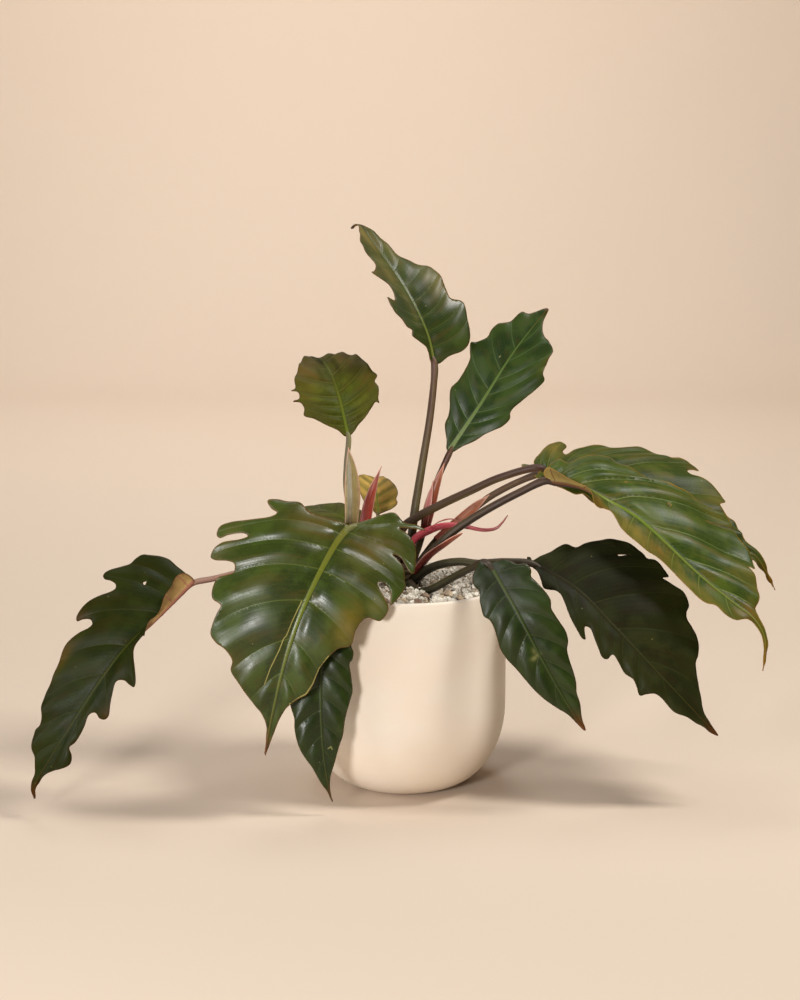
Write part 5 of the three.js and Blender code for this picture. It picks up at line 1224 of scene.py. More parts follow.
def glazeFinish(look):
    material, tree, shader = newFinish("cream_glaze")
    place = ownPlace(tree)
    cloud = speckle(tree, place, 14.0, 3.0)
    bands = speckle(tree, stretched(tree, place, (6.0, 6.0, 120.0)), 1.0, 3.0)
    grain = speckle(tree, place, 900.0, 3.0, 0.6)
    colour = blended(tree, ranged(tree, cloud, 0.35, 0.68, 0.0, 0.5), look["glaze"], look["warm"])
    colour = blended(tree, ranged(tree, bands, 0.4, 0.7, 0.0, 0.18), colour, look["warm"])
    dots = ranged(tree, cells(tree, place, 260.0), 0.04, 0.1, 0.35, 0.0)
    colour = blended(tree, dots, colour, look["fleck"])
    fill(tree, shader.inputs["Base Color"], colour)
    roughness = ranged(tree, cloud, 0.3, 0.7, look["roughness"], look["roughness"] + 0.1)
    fill(tree, shader.inputs["Roughness"], roughness)
    shader.inputs["Specular IOR Level"].default_value = 0.4
    height = plus(tree, times(tree, grain, 0.3), times(tree, bands, 0.7))
    roughen(tree, shader, height, 0.09, 0.6)
    return material


def planterProfile(look):
    radius, foot, wall = look["radius"], look["foot"], look["wall"]
    lip = wall / 2 - 0.1
    inner = radius - wall
    # below: a hollowed foot inside its ring
    points = [(0.0, look["footRise"]), (foot - 4.0, look["footRise"]), (foot - 2.6, 0.2), (foot - 1.4, 0.0)]
    # outside: the rounded bottom, the straight side, then over the lip
    for turn in np.linspace(math.pi / 2, 0.0, 25):
        points.append((foot + (radius - foot) * math.cos(turn), look["round"] * (1 - math.sin(turn))))
    for z in np.linspace(look["round"], look["height"] - lip, 12)[1:]:
        points.append((radius, z))
    for turn in np.linspace(0.0, math.pi, 12)[1:]:
        points.append((radius - wall / 2 + lip * math.cos(turn), look["height"] + lip * (math.sin(turn) - 1)))
    # inside: down the wall and round to the middle of the floor
    points += [(inner, look["height"] - down) for down in (10.0, 30.0, 60.0, 90.0)]
    for turn in np.linspace(0.0, math.pi / 2, 13):
        points.append((foot - wall + (inner - foot + wall) * math.cos(turn),
                       look["round"] - (look["round"] - look["floor"]) * math.sin(turn)))
    points.append((0.0, look["floor"]))
    return points


def turnedMesh(profile, segments, wobble):
    # wobble keeps the wall from being perfectly round
    points, faces, rings = [], [], []
    for r, z in profile:
        if r < 1e-6:
            rings.append([len(points)] * segments)
            points.append((0.0, 0.0, z))
            continue
        ring = []
        for i in range(segments):
            turn = 2 * math.pi * i / segments
            off = wobble * (math.sin(2 * turn + 0.02 * z) + 0.5 * math.sin(3 * turn - 0.03 * z))
            ring.append(len(points))
            points.append(((r + off) * math.cos(turn), (r + off) * math.sin(turn), z))
        rings.append(ring)
    for below, above in zip(rings[:-1], rings[1:]):
        for i in range(segments):
            j = (i + 1) % segments
            face = [below[i], below[j], above[j], above[i]]
            face = [corner for k, corner in enumerate(face) if corner != face[k - 1]]
            if len(face) > 2:
                faces.append(face)
    return points, faces


def addPlanter(look):
    points, faces = turnedMesh(planterProfile(look), look["segments"], look["wobble"])
    piece = addPiece("planter_glazed", points, faces, [glazeFinish(look)])
    stands(piece, "planter")


addPlanter(planterLook)
print("planter turned")


# Potting soil stays as the frame has it, hidden under the pumice

soilLook = {"colours": [(0.3, tone(30, 21, 15)), (0.55, tone(58, 42, 30)), (0.75, tone(92, 72, 52))]}


def soilFinish(look):
    material, tree, shader = newFinish("dark_soil")
    crumbs = speckle(tree, ownPlace(tree), 320.0, 5.0, 0.7)
    fill(tree, shader.inputs["Base Color"], gradient(tree, crumbs, look["colours"]))
    shader.inputs["Roughness"].default_value = 0.95
    roughen(tree, shader, crumbs, 0.8)
    return material


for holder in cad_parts["potting_soil"].material_slots:
    holder.material = soilFinish(soilLook)
print("soil finished")


# Pumice top dressing: single stones heaped a layer or two deep on a bed of grit

pumiceLook = {
    "seed": 21, "stones": 1250, "smallest": 2.0, "largest": 4.6, "edge": 91.2, "bed": 190.5, "top": 197.5,
    "stemGap": 13.0, "tries": 30, "uneven": (0.8, 1.25), "flattened": 0.8, "lumps": 0.16,
    "colours": [(0.0, tone(234, 226, 210)), (0.58, tone(234, 226, 210)), (0.78, tone(178, 168, 152)),
                (0.92, tone(204, 182, 152)), (0.98, tone(140, 112, 92)), (1.0, tone(92, 80, 70))],
    "grey": tone(178, 168, 152), "pit": tone(70, 62, 54),
    "bedRings": 26, "bedSides": 120, "bedRoughness": 0.9, "bedKind": 0.9,
}


def pumiceFinish(look):
    material, tree, shader = newFinish("pumice_stone")
    place = ownPlace(tree)
    colour = gradient(tree, sheetValue(tree, "kind"), look["colours"])
    cloud = speckle(tree, place, 420.0, 4.0, 0.65)
    colour = blended(tree, ranged(tree, cloud, 0.45, 0.75, 0.0, 0.55), colour, look["grey"])
    pits = ranged(tree, cells(tree, place, 1100.0), 0.14, 0.3, 1.0, 0.0)
    colour = blended(tree, times(tree, pits, ranged(tree, cloud, 0.35, 0.6)), colour, look["pit"])
    fill(tree, shader.inputs["Base Color"], colour)
    shader.inputs["Roughness"].default_value = 0.92
    shader.inputs["Specular IOR Level"].default_value = 0.2
    height = reckon(tree, "SUBTRACT", cloud, times(tree, pits, 0.8))
    roughen(tree, shader, height, 0.5)
    return material


def roundStone():
    shape = bmesh.new()
    bmesh.ops.create_icosphere(shape, subdivisions=2, radius=1.0)
    corners = np.array([vertex.co[:] for vertex in shape.verts])
    faces = np.array([[vertex.index for vertex in face.verts] for face in shape.faces])
    shape.free()
    return corners, faces


def restingPlace(look, size, placed, chance):
    # tries a few places for one that is free, and otherwise leaves the stone lying on its neighbours
    for _ in range(look["tries"]):
        turn = chance.random() * 2 * math.pi
        reach = math.sqrt(chance.random()) * (look["edge"] - size * 0.8)
        x, y = reach * math.cos(turn), reach * math.sin(turn)
        near = [other for other in placed if math.hypot(other[0] - x, other[1] - y) < (other[3] + size) * 0.8]
        if reach > look["stemGap"] and not near:
            break
    z = max([look["bed"] + size * 0.45] + [other[2] + 0.45 * (other[3] + size) for other in near])
    return x, y, min(z, look["top"] + chance.random() * 2.0 - size * 0.3)


def gritBed(look, chance):
    # rings of grit between the stones, round the stem
    count = look["bedSides"]
    turns = np.arange(count) * 2 * math.pi / count
    rings = []
    for radius in np.linspace(look["stemGap"] - 1.0, look["edge"] + 1.4, look["bedRings"]):
        rough = chance.normal(size=count) * look["bedRoughness"]
        rings.append(np.stack([radius * np.cos(turns), radius * np.sin(turns), look["bed"] + rough], -1))
    faces = []
    for i in range(len(rings) - 1):
        for j in range(count):
            k = (j + 1) % count
            a, b = i * count, (i + 1) * count
            faces += [(a + j, b + j, b + k), (a + j, b + k, a + k)]
    return np.vstack(rings), np.array(faces)


def addPumice(look):
    chance = np.random.default_rng(look["seed"])
    corners, faces = roundStone()
    points, allFaces, kinds = [], [], []
    placed = []
    for i in range(look["stones"]):
        size = look["smallest"] + (look["largest"] - look["smallest"]) * chance.random() ** 1.6
        place = restingPlace(look, size, placed, chance)
        placed.append((*place, size))
        wide = size * chance.uniform(*look["uneven"], 3)
        wide[2] *= look["flattened"]
        spin = np.linalg.qr(chance.normal(size=(3, 3)))[0]
        lumps = 1.0 + look["lumps"] * chance.normal(size=(len(corners), 1))
        points.append((corners * lumps * wide) @ spin + place)
        allFaces.append(faces + i * len(corners))
        kinds.append(np.full(len(corners), chance.random()))
    bed, bedFaces = gritBed(look, chance)
    allFaces.append(bedFaces + look["stones"] * len(corners))
    kinds.append(np.full(len(bed), look["bedKind"]))
    piece = addPiece("pumice_stones", np.vstack(points + [bed]), np.vstack(allFaces), [pumiceFinish(look)],
                     smooth=False)
    storeValue(piece, "kind", np.concatenate(kinds))
    stands(piece, "gravel_top_dressing")


addPumice(pumiceLook)
print("pumice laid")


# Tubes: the stalks, the stem, the rolled shoot and its thread

def carried(line, up):
    # the up and the right of a frame carried along a line without twisting
    tangent = unit(np.gradient(line, axis=0))
    ups = []
    for direction in tangent:
        up = up - (up @ direction) * direction
        up = up / np.linalg.norm(up)
        ups.append(up)
    ups = np.array(ups)
    return ups, np.cross(tangent, ups)


def tubeMesh(line, radii, sides, section, up=(0.0, 0.0, 1.0)):
    # section gives how far the skin stands out, as a share of the radius, at each turn and place
    ups, right = carried(line, np.array(up, float))
    turns = np.arange(sides) * 2 * math.pi / sides
    rings = []
    for i, centre in enumerate(line):
        out = radii[i] * section(turns, i / (len(line) - 1))
        rings.append(centre + np.outer(out * np.cos(turns), ups[i]) + np.outer(out * np.sin(turns), right[i]))
    points = [line[0][None, :]] + rings + [line[-1][None, :]]
    faces = []
    for j in range(sides):
        k = (j + 1) % sides
        faces.append((0, 1 + k, 1 + j))
        for i in range(len(line) - 1):
            a, b = 1 + i * sides, 1 + (i + 1) * sides
            faces.append((a + j, a + k, b + k, b + j))
        last = 1 + (len(line) - 1) * sides
        faces.append((last + j, last + k, last + sides))
    # with each point: how far along it lies, and how far up and aside on the section, -1 to 1
    share = np.concatenate([[0.0], np.repeat(np.linspace(0, 1, len(line)), sides), [1.0]])
    upper = np.concatenate([[0.0], np.tile(np.cos(turns), len(line)), [0.0]])
    aside = np.concatenate([[0.0], np.tile(np.sin(turns), len(line)), [0.0]])
    return np.vstack(points), faces, share, upper, aside


def stalkFinish(name, look):
    material, tree, shader = newFinish(name)
    upper = sheetValue(tree, "upper")
    skin = sheetVector(tree, "skin")
    streak = speckle(tree, stretched(tree, skin, (1.6, 1.6, 0.22)), 2.2, 4.0, 0.6)
    fine = speckle(tree, stretched(tree, skin, (3.0, 3.0, 0.3)), 6.0, 3.0, 0.6)
    colour = gradient(tree, sheetValue(tree, "along"), look["colours"])
    colour = blended(tree, ranged(tree, streak, 0.42, 0.68, 0.0, 0.6), colour, look["streak"])
    colour = blended(tree, ranged(tree, fine, 0.5, 0.75, 0.0, 0.3), colour, look["dark"])
    # painted shade on the belly, a darker groove on top, pale dots all over
    colour = blended(tree, ranged(tree, upper, -0.7, 0.35, 0.75, 0.0), colour, look["dark"])
    colour = blended(tree, ranged(tree, upper, 0.82, 0.98, 0.0, 0.5), colour, look["groove"])
    dots = cells(tree, stretched(tree, skin, (1.0, 1.0, 0.45)), 3.0)
    colour = blended(tree, ranged(tree, dots, 0.05, 0.12, 0.35, 0.0), colour, look["streak"])
    fill(tree, shader.inputs["Base Color"], colour)
    gloss = ranged(tree, streak, 0.3, 0.7, look["gloss"], look["gloss"] + 0.12)
    fill(tree, shader.inputs["Roughness"], gloss)
    shader.inputs["Specular IOR Level"].default_value = 0.36
    roughen(tree, shader, plus(tree, streak, times(tree, fine, 0.6)), 0.22, 0.7)
    return material


purpleStalk = {
    "colours": [(0.0, tone(50, 32, 26)), (0.12, tone(74, 66, 36)), (0.45, tone(88, 72, 42)),
                (0.75, tone(84, 52, 40)), (0.93, tone(88, 54, 44)), (1.0, tone(108, 88, 50))],
    "streak": tone(110, 102, 58), "dark": tone(58, 34, 28), "groove": tone(62, 38, 32), "gloss": 0.42,
    "slot": "dark_stalk",
}
oliveStalk = {
    "colours": [(0.0, tone(50, 34, 26)), (0.2, tone(72, 64, 38)), (0.6, tone(96, 94, 54)),
                (1.0, tone(104, 110, 54))],
    "streak": tone(126, 120, 72), "dark": tone(60, 48, 34), "groove": tone(66, 58, 34), "gloss": 0.42,
    "slot": "green_stalk",
}
greyGreenStalk = {
    "colours": [(0.0, tone(70, 66, 44)), (0.4, tone(106, 108, 74)), (0.85, tone(120, 118, 72)),
                (1.0, tone(118, 130, 64))],
    "streak": tone(140, 134, 96), "dark": tone(84, 70, 50), "groove": tone(96, 66, 50), "gloss": 0.42,
    "slot": "green_stalk",
}
duskyStalk = {
    **purpleStalk, "colours": [(0.0, tone(48, 36, 22)), (0.15, tone(66, 56, 30)), (0.5, tone(62, 44, 32)),
                               (1.0, tone(70, 44, 36))],
    "streak": tone(82, 66, 42), "dark": tone(40, 28, 24),
}
shadedStalk = {
    **purpleStalk, "colours": [(0.0, tone(48, 44, 24)), (0.4, tone(60, 56, 30)), (0.8, tone(54, 42, 30)),
                               (1.0, tone(58, 40, 34))],
    "streak": tone(76, 72, 42), "dark": tone(34, 30, 20),
}
mauveStalk = {
    **purpleStalk, "colours": [(0.0, tone(60, 40, 34)), (0.5, tone(110, 84, 72)), (0.85, tone(150, 112, 96)),
                               (1.0, tone(146, 112, 82))],
    "streak": tone(164, 136, 112), "dark": tone(104, 72, 66), "groove": tone(96, 66, 60),
}

# Routes from the crown to the foot of the blade, and the radius at each end
stalks = {
    "top": {
        "look": purpleStalk, "radii": (4.4, 3.2),
        "route": [(2.7, 5.7, 219.6), (6, 9, 238), (9, 12, 264), (15, 14, 302), (25, 19, 365),
                  (28.2, 22.2, 409.6)],
    },
    "upper_right": {
        "look": purpleStalk, "radii": (3.6, 2.8),
        "route": [(5.7, 13.3, 213), (14, 18, 233), (24, 19, 270), (31, 22, 294), (43.9, 25.2, 323.1)],
    },
    "upper_left": {
        "look": greyGreenStalk, "radii": (3.6, 2.4),
        "route": [(-12.6, -6, 212), (-29, -14, 236), (-49, -20, 264), (-56, -18, 293), (-56, -15, 317),
                  (-53.8, -9.5, 342.5)],
    },
    "small_back": {
        "look": greyGreenStalk, "radii": (2.6, 1.8),
        "route": [(-3.5, 12.9, 208), (-11, 28, 227), (-20, 40, 242), (-26.6, 48.8, 255.7)],
    },
    "large_front": {
        "look": oliveStalk, "radii": (4.4, 3.6),
        "route": [(-7.2, -12.4, 209.5), (-19, -34, 233), (-31, -56, 257), (-47, -78.8, 269.3)],
    },
    "lower_left": {
        "look": oliveStalk, "radii": (3.4, 3.0),
        "route": [(-9, -9.2, 200), (-29, -45, 219), (-50, -72, 228), (-66.3, -90.1, 213.9)],
    },
    "far_left": {
        "look": mauveStalk, "radii": (4.0, 2.8),
        "route": [(-12.8, -2.3, 202), (-62, -20, 225), (-109, -36, 229), (-156, -50, 220), (-181, -56, 215),
                  (-199.3, -59.2, 211.8)],
    },
    "right_front": {
        "look": duskyStalk, "radii": (4.4, 3.8),
        "route": [(11, -4.4, 215), (43, -8, 248), (72, -12, 269), (110, -17, 291), (134.4, -20.5, 302.6)],
    },
    "right_rear": {
        "look": purpleStalk, "radii": (4.4, 3.6),
        "route": [(-6.2, 0, 219.7), (-8, -1, 238), (-1, -1, 254), (13, 0, 264), (34, 6, 274), (63, 10, 287),
                  (92, 11, 300), (129.2, 7.6, 309.9)],
    },
    "right_inner": {
        "look": purpleStalk, "radii": (3.8, 3.2),
        "route": [(12.5, 5.7, 213.2), (28, 14, 234), (44, 18, 250), (63, 21, 264), (83, 23, 279),
                  (112, 25, 294), (130.7, 26.2, 300.3)],
    },
    "lower_right": {
        "look": shadedStalk, "radii": (4.6, 3.4),
        "route": [(8.1, -6.6, 203), (19, -13, 213), (33, -21, 221), (52, -31, 226), (68, -39, 226),
                  (95, -45, 229), (119.5, -48.3, 227.9)],
    },
    "front_right": {
        "look": shadedStalk, "radii": (4.2, 3.4),
        "route": [(3.3, -12.6, 200), (12, -26, 196), (24, -40, 201), (44, -53, 215), (62, -68, 228),
                  (74.4, -82.2, 236.1)],
    },
    "edge_on": {
        "look": oliveStalk, "radii": (3.0, 2.0),
        "route": [(-13.3, 3.7, 213), (-22, 10, 227), (-36, 15, 242), (-51.9, 19.6, 251.2)],
    },
}
stalkShape = {
    "step": 2.2, "sides": 24,
    # how far along the midrib the stalk runs on, and how far below it there, as a share of its radius
    "under": [(0.03, 0.55), (0.07, 0.8), (0.12, 0.75)],
    "footSwell": 0.35, "footReach": 9.0, "knee": 0.10, "kneeReach": 7.0, "thinning": 0.72,
    "footGroove": 0.05, "groove": 0.16, "grooveWidth": 0.42, "ridges": 0.035,
}


def addStalk(name, stalk):
    # the stalk runs on under the foot of its blade and thins out into the midrib
    shape = stalkShape
    rib = ribOf(bladeNamed(name))
    under = np.array([rib["length"] * share for share, _ in shape["under"]])
    sink = np.array([depth for _, depth in shape["under"]]) * stalk["radii"][1]
    follow = sampled(rib, "centre", under) - sampled(rib, "normal", under) * sink[:, None]
    line = evenSteps(splineThrough(np.vstack([stalk["route"], follow])), shape["step"])
    walked = np.linspace(0.0, 1.0, len(line)) * len(line) * shape["step"]
    end = walked[-1] - under[-1]
    first, last = stalk["radii"]
    radii = first + (last - first) * np.clip(walked / end, 0, 1)
    radii *= 1.0 + shape["footSwell"] * np.exp(-walked / shape["footReach"])
    reach = shape["kneeReach"]
    radii *= 1.0 + shape["knee"] * np.exp(-((walked - end + reach) / reach) ** 2)
    radii *= 1.0 - shape["thinning"] * ease(walked, end - 1.0, walked[-1])

    def section(turns, place):
        # a shallow groove along the top, hardly there at the foot
        away = np.arctan2(np.sin(turns), np.cos(turns))
        depth = shape["groove"] if place > 0.08 else shape["footGroove"]
        groove = depth * np.exp(-(away / shape["grooveWidth"]) ** 2)
        return 1.0 - groove + shape["ridges"] * np.cos(3 * turns + 1.0)

    look = stalk["look"]
    points, faces, share, upper, aside = tubeMesh(line, radii, shape["sides"], section)
    piece = addPiece(f"stalk_{name}", points, faces, [stalkFinish(f"{name}_stalk", look)])
    storeValue(piece, "along", share)
    storeValue(piece, "upper", upper)
    storeVector(piece, "skin", np.stack([upper, aside, share * len(line) * 0.22 + 7.0 * len(name)], -1))
    stands(piece, f"petiole_{name}")


for stalkName, stalk in stalks.items():
    addStalk(stalkName, stalk)
print("stalks drawn:", len(stalks))


# Stem: short, ringed by the scars of old leaves, rooted below the pumice

stemLook = {
    "radius": 10.6, "bottom": 118.0, "top": 220.0, "rings": 70, "sides": 40,
    "leafScars": 17.0, "scarDepth": 0.07, "lumps": 0.03,
    "bark": tone(94, 74, 48), "scar": tone(60, 44, 30), "green": tone(92, 98, 52),
}


def stemFinish(look):
    material, tree, shader = newFinish("ringed_stem")
    place = ownPlace(tree)
    rough = speckle(tree, place, 260.0, 4.0, 0.6)
    bands = speckle(tree, stretched(tree, place, (60.0, 60.0, 420.0)), 1.0, 3.0)
    colour = blended(tree, ranged(tree, bands, 0.4, 0.62), look["bark"], look["scar"])
    colour = blended(tree, ranged(tree, rough, 0.5, 0.7, 0.0, 0.6), colour, look["green"])
    fill(tree, shader.inputs["Base Color"], colour)
    shader.inputs["Roughness"].default_value = 0.75
    roughen(tree, shader, plus(tree, rough, bands), 0.6)
    return material


def addStem(look):
    heights = np.linspace(look["bottom"], look["top"], look["rings"])
    line = np.stack([np.zeros_like(heights), np.zeros_like(heights), heights], -1)
    share = np.linspace(0, 1, look["rings"])
    rounding = (1.0 - 0.5 * ease(share, 0.95, 1.0)) * (1.0 - 0.3 * (1 - ease(share, 0.0, 0.06)))

    def section(turns, at):
        lean = at * look["leafScars"] + 0.5 * np.sin(turns)
        scars = look["scarDepth"] * np.abs(np.sin(math.pi * lean)) ** 6
        return 1.0 - scars - look["lumps"] * np.cos(5 * turns + 9 * at)

    points, faces, *_ = tubeMesh(line, look["radius"] * rounding, look["sides"], section, up=(1.0, 0.0, 0.0))
    piece = addPiece("stem_ringed", points, faces, [stemFinish(look)])
    stands(piece, "stem")


addStem(stemLook)
print("stem drawn")


# Sheaths: thin pointed sheets, curled round the stalks that they once covered

tanSheath = {
    "colours": [(0.0, tone(126, 104, 60)), (0.4, tone(150, 132, 84)), (0.8, tone(146, 132, 86)),
                (1.0, tone(118, 104, 66))],
    # the young stalk shows green through the left part of this one
    "stripes": [(0.0, tone(176, 152, 104)), (0.2, tone(84, 84, 50)), (0.46, tone(110, 96, 54)),
                (0.62, tone(140, 122, 70)), (0.8, tone(132, 116, 66)), (1.0, tone(190, 152, 112))],
    "slot": "tan_sheath",
}
crimsonSheath = {
    "colours": [(0.0, tone(130, 22, 30)), (0.35, tone(156, 38, 34)), (0.75, tone(158, 58, 38)),
                (1.0, tone(98, 46, 34))],
    "slot": "red_sheath",
}
rustSheath = {
    "colours": [(0.0, tone(110, 28, 38)), (0.3, tone(124, 54, 34)), (0.7, tone(142, 74, 44)),
                (1.0, tone(176, 110, 82))],
    "slot": "orange_sheath",
}
pinkSheath = {
    "colours": [(0.0, tone(140, 52, 50)), (0.5, tone(180, 92, 84)), (1.0, tone(170, 112, 96))],
    "slot": "red_sheath",
}
orangeSheath = {
    "colours": [(0.0, tone(124, 50, 40)), (0.35, tone(150, 80, 46)), (0.8, tone(166, 98, 64)),
                (1.0, tone(204, 160, 132))],
    "slot": "orange_sheath",
}
wineSheath = {
    "colours": [(0.0, tone(126, 22, 36)), (0.4, tone(136, 40, 42)), (0.75, tone(166, 84, 60)),
                (1.0, tone(190, 120, 92))],
    "slot": "red_sheath",
}
sheathSkin = {
    "thickness": 0.35, "ribThickness": 0.5, "rows": 64, "columns": 16, "flare": 0.35, "folds": 0.12,
    # half the width from there to the tip, as a share of the widest. Each sheath gives its own foot.
    "taper": [(0.3, 0.97), (0.5, 0.88), (0.65, 0.72), (0.8, 0.48), (0.92, 0.2), (1, 0.015)],
    "paler": tone(230, 190, 160), "darker": tone(60, 30, 24), "edge": tone(226, 172, 150),
}

# blunt is how far the tip is rounded off, from 0 to 1
sheaths = {
    "upper_left": {
        "look": tanSheath, "halfWidth": 9, "foot": 0.8, "wrap": 60, "blunt": 0.0,
        "rib": [(-50.9, -26.8, 262), (-49.9, -25.8, 285), (-50.9, -21.8, 308), (-53.9, -16.8, 334)],
        "face": [(0.1, -1, 0.1), (0, -1, 0.1)],
    },
    "bare_red": {
        "look": crimsonSheath, "halfWidth": 8, "foot": 0.25, "wrap": 90, "blunt": 0.0,
        "rib": [(-12.8, -0.6, 211), (-26, -6, 232), (-38, -2, 250), (-36, 4, 271), (-28.5, 9, 296),
                (-22.5, 12, 311)],
        "face": [(-0.6, -0.6, 0.5), (0, -1, 0.2), (0.2, -1, 0.1)],
    },
    "upper_right": {
        "look": rustSheath, "halfWidth": 6.5, "foot": 0.8, "wrap": 70, "blunt": 0.0,
        "rib": [(19.2, 13.7, 244.7), (22.2, 14.2, 261.7), (28.2, 15.7, 284.7), (38.2, 20.2, 312.7)],
        "face": [(0.1, -1, 0.1), (0.1, -1, 0.1)],
    },
    "small_pink": {
        "look": pinkSheath, "halfWidth": 3.5, "foot": 0.8, "wrap": 80, "blunt": 0.0,
        "rib": [(19.3, 11.5, 253.4), (21.8, 12.5, 269.4), (27.3, 14.5, 296.4)],
        "face": [(-0.3, -0.9, 0.1), (-0.3, -0.9, 0.1)],
    },
    "orange": {
        "look": orangeSheath, "halfWidth": 7, "foot": 0.8, "wrap": 70, "blunt": 0.0,
        "rib": [(30.9, 9.6, 237.6), (46.9, 12.6, 250.6), (65.9, 15.6, 268.6), (81.9, 18.6, 281.6)],
        "face": [(0.2, -0.9, 0.4), (0.2, -0.9, 0.4)],
    },
    "lower_red": {
        "look": wineSheath, "halfWidth": 7, "foot": 0.8, "wrap": 60, "blunt": 0.75,
        "rib": [(9.5, -14.7, 210.5), (24.5, -15.7, 227.5), (40.5, -15.7, 240.0), (55.5, -14.7, 250.5)],
        "face": [(0.4, -0.6, -0.6), (0.4, -0.6, -0.6)],
    },
}


def sheathFinish(name, look):
    material, tree, shader = newFinish(name)
    flat = sheetVector(tree, "flat")
    lines = speckle(tree, stretched(tree, flat, (0.25, 4.0, 1.0)), 2.4, 3.0, 0.6)
    cloud = speckle(tree, flat, 1.4, 3.0)
    colour = gradient(tree, sheetValue(tree, "along"), look["colours"])
    if "stripes" in look:
        across = tree.nodes.new("ShaderNodeSeparateXYZ")
        fill(tree, across.inputs[0], flat)
        stripes = gradient(tree, ranged(tree, across.outputs[1], -0.9, 0.9), look["stripes"])
        colour = blended(tree, 0.8, colour, stripes)
    pale = blended(tree, 0.3, look["colours"][2][1], sheathSkin["paler"])
    dark = blended(tree, 0.45, look["colours"][0][1], sheathSkin["darker"])
    colour = blended(tree, ranged(tree, lines, 0.42, 0.66, 0.0, 0.3), colour, pale)
    colour = blended(tree, ranged(tree, cloud, 0.5, 0.72, 0.0, 0.45), colour, dark)
    edge = ranged(tree, sheetValue(tree, "marginGap"), 0.3, 1.3, 0.7, 0.0)
    colour = blended(tree, edge, colour, sheathSkin["edge"])
    fill(tree, shader.inputs["Base Color"], colour)
    fill(tree, shader.inputs["Roughness"], ranged(tree, lines, 0.3, 0.7, 0.36, 0.52))
    shader.inputs["Subsurface Weight"].default_value = 0.12
    shader.inputs["Subsurface Radius"].default_value = (0.004, 0.0015, 0.001)
    roughen(tree, shader, plus(tree, lines, times(tree, cloud, 0.4)), 0.25, 0.8)
    return material


def addSheath(name, sheath):
    skin = sheathSkin
    rib = ribOf({**sheath, "foldRight": [0, 0], "foldLeft": [0, 0],
                 "curlRight": [sheath["wrap"]] * 2, "curlLeft": [sheath["wrap"]] * 2})
    rows, columns = skin["rows"], skin["columns"]
    far = np.linspace(0.0, 1.0, rows)
    outline = splineThrough([(0, sheath["foot"])] + skin["taper"])
    wide = np.interp(far, outline[:, 0], outline[:, 1])
    rounded = np.sqrt(np.clip(1.0 - far ** 5, 0.0, 1.0)) * 0.85
    wide = (wide + (np.maximum(rounded, wide) - wide) * sheath["blunt"]) * sheath["halfWidth"]
    s = np.repeat(far * rib["length"], columns + 1)
    share = np.tile(np.linspace(-1.0, 1.0, columns + 1), rows)
    w = np.repeat(wide, columns + 1) * share
    # the edges flare a little, and fine folds run along the sheath
    flare = skin["flare"] * np.sin(s / rib["length"] * 9.0 + len(name)) * np.abs(share) ** 3
    points = bentPoints(rib, s, w, flare + skin["folds"] * np.cos(share * 9.0))
    faces = []
    for i in range(rows - 1):
        for j in range(columns):
            a, b = i * (columns + 1) + j, (i + 1) * (columns + 1) + j
            faces.append((a, a + 1, b + 1, b))
    gap = np.repeat(wide, columns + 1) * (1.0 - np.abs(share))
    thickness = skin["thickness"] + skin["ribThickness"] * ease(gap, 0.0, 3.0)
    whole, allFaces, _ = thickened(points, faces, thickness)
    look = sheath["look"]
    piece = addPiece(f"sheath_{name}_skin", whole, allFaces, [sheathFinish(f"{name}_sheath", look)])
    storeValue(piece, "along", bothFaces(s / rib["length"]))
    storeValue(piece, "marginGap", bothFaces(gap))
    flat = np.stack([s / 10.0, w / 10.0, np.full_like(s, 2.3 * len(name))], -1)
    storeVector(piece, "flat", bothFaces(flat))
    stands(piece, f"sheath_{name}")


for sheathName, sheath in sheaths.items():
    addSheath(sheathName, sheath)
print("sheaths curled:", len(sheaths))


# The young leaf, still rolled: the edge of its blade climbs round it as a spiral ridge

shootLook = {
    "route": [(3, -5, 220.5), (5, -3, 232), (10, 0, 242), (26, 2, 251), (43, 3, 255), (59, 3, 253),
              (76, 2, 250), (88, 1, 252), (94, 0, 258), (99, 0, 265)],
    "radii": [3.6, 3.7, 3.8, 3.7, 3.2, 2.4, 2.0, 1.9, 1.4, 0.5],
    "thread": [(24, -1, 252.5), (33, -2, 259), (45, -1, 261.5), (54, 1, 257.5)],
    "threadRadius": 0.75, "step": 1.2, "sides": 36, "threadSides": 12,
    "twist": 9.0, "thinnest": 0.86, "ridge": 0.2,
    "colours": [(0.0, tone(150, 36, 52)), (0.25, tone(194, 66, 82)), (0.5, tone(184, 70, 80)),
                (0.75, tone(146, 66, 62)), (1.0, tone(124, 60, 46))],
    "pale": tone(214, 116, 118), "seam": tone(110, 26, 50),
}


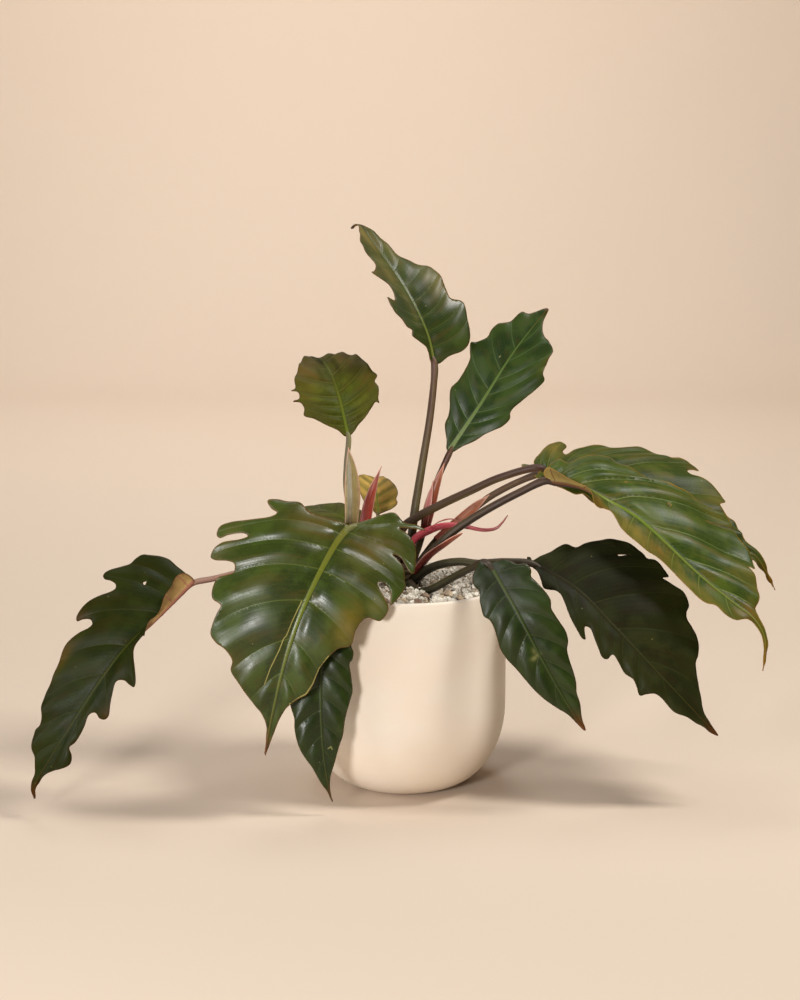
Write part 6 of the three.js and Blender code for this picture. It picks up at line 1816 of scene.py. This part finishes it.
def shootFinish(look):
    material, tree, shader = newFinish("rolled_pink_leaf")
    lines = speckle(tree, stretched(tree, sheetVector(tree, "skin"), (1.5, 1.5, 0.3)), 2.5, 3.0, 0.6)
    colour = gradient(tree, sheetValue(tree, "along"), look["colours"])
    colour = blended(tree, ranged(tree, lines, 0.4, 0.66, 0.0, 0.5), colour, look["pale"])
    seam = ranged(tree, sheetValue(tree, "seam"), 0.0, 0.5, 0.7, 0.0)
    fill(tree, shader.inputs["Base Color"], blended(tree, seam, colour, look["seam"]))
    shader.inputs["Roughness"].default_value = 0.36
    shader.inputs["Subsurface Weight"].default_value = 0.15
    shader.inputs["Subsurface Radius"].default_value = (0.004, 0.0012, 0.001)
    roughen(tree, shader, lines, 0.2, 0.7)
    return material


def pastSeam(look, turns, place):
    # how far round from the seam, which climbs along the shoot as a spiral
    return (turns - place * look["twist"]) % (2 * math.pi)


def addShoot(look):
    line = evenSteps(splineThrough(look["route"]), look["step"])
    far = np.linspace(0, 1, len(line))

    def rolled(turns, place):
        return look["thinnest"] + look["ridge"] * pastSeam(look, turns, place) / (2 * math.pi)

    points, faces, share, upper, aside = tubeMesh(line, spread(look["radii"], far), look["sides"], rolled)
    turns = np.arange(look["sides"]) * 2 * math.pi / look["sides"]
    seams = np.array([pastSeam(look, turns, place) for place in far]).ravel()
    seams = np.concatenate([[3.0], np.minimum(seams, 2 * math.pi - seams), [3.0]])

    # a thread beside it, left from the sheath that it came out of
    thread = evenSteps(splineThrough(look["thread"]), look["step"])
    radii = look["threadRadius"] * (1 - 0.7 * np.abs(np.linspace(-1, 1, len(thread))))

    def evenly(turns, place):
        return np.ones_like(turns)

    more, moreFaces, share2, upper2, aside2 = tubeMesh(thread, radii, look["threadSides"], evenly)
    faces = faces + [[corner + len(points) for corner in face] for face in moreFaces]
    piece = addPiece("shoot_rolled", np.vstack([points, more]), faces, [shootFinish(look)])
    storeValue(piece, "along", np.concatenate([share, share2 * 0.3 + 0.6]))
    storeValue(piece, "seam", np.concatenate([seams, np.full(len(more), 3.0)]))
    reach = np.concatenate([share * 20.0, share2 * 4.0 + 30.0])
    skin = [np.concatenate([upper, upper2]), np.concatenate([aside, aside2]), reach]
    storeVector(piece, "skin", np.stack(skin, -1))
    stands(piece, "unfurling_shoot")


addShoot(shootLook)
print("shoot rolled")
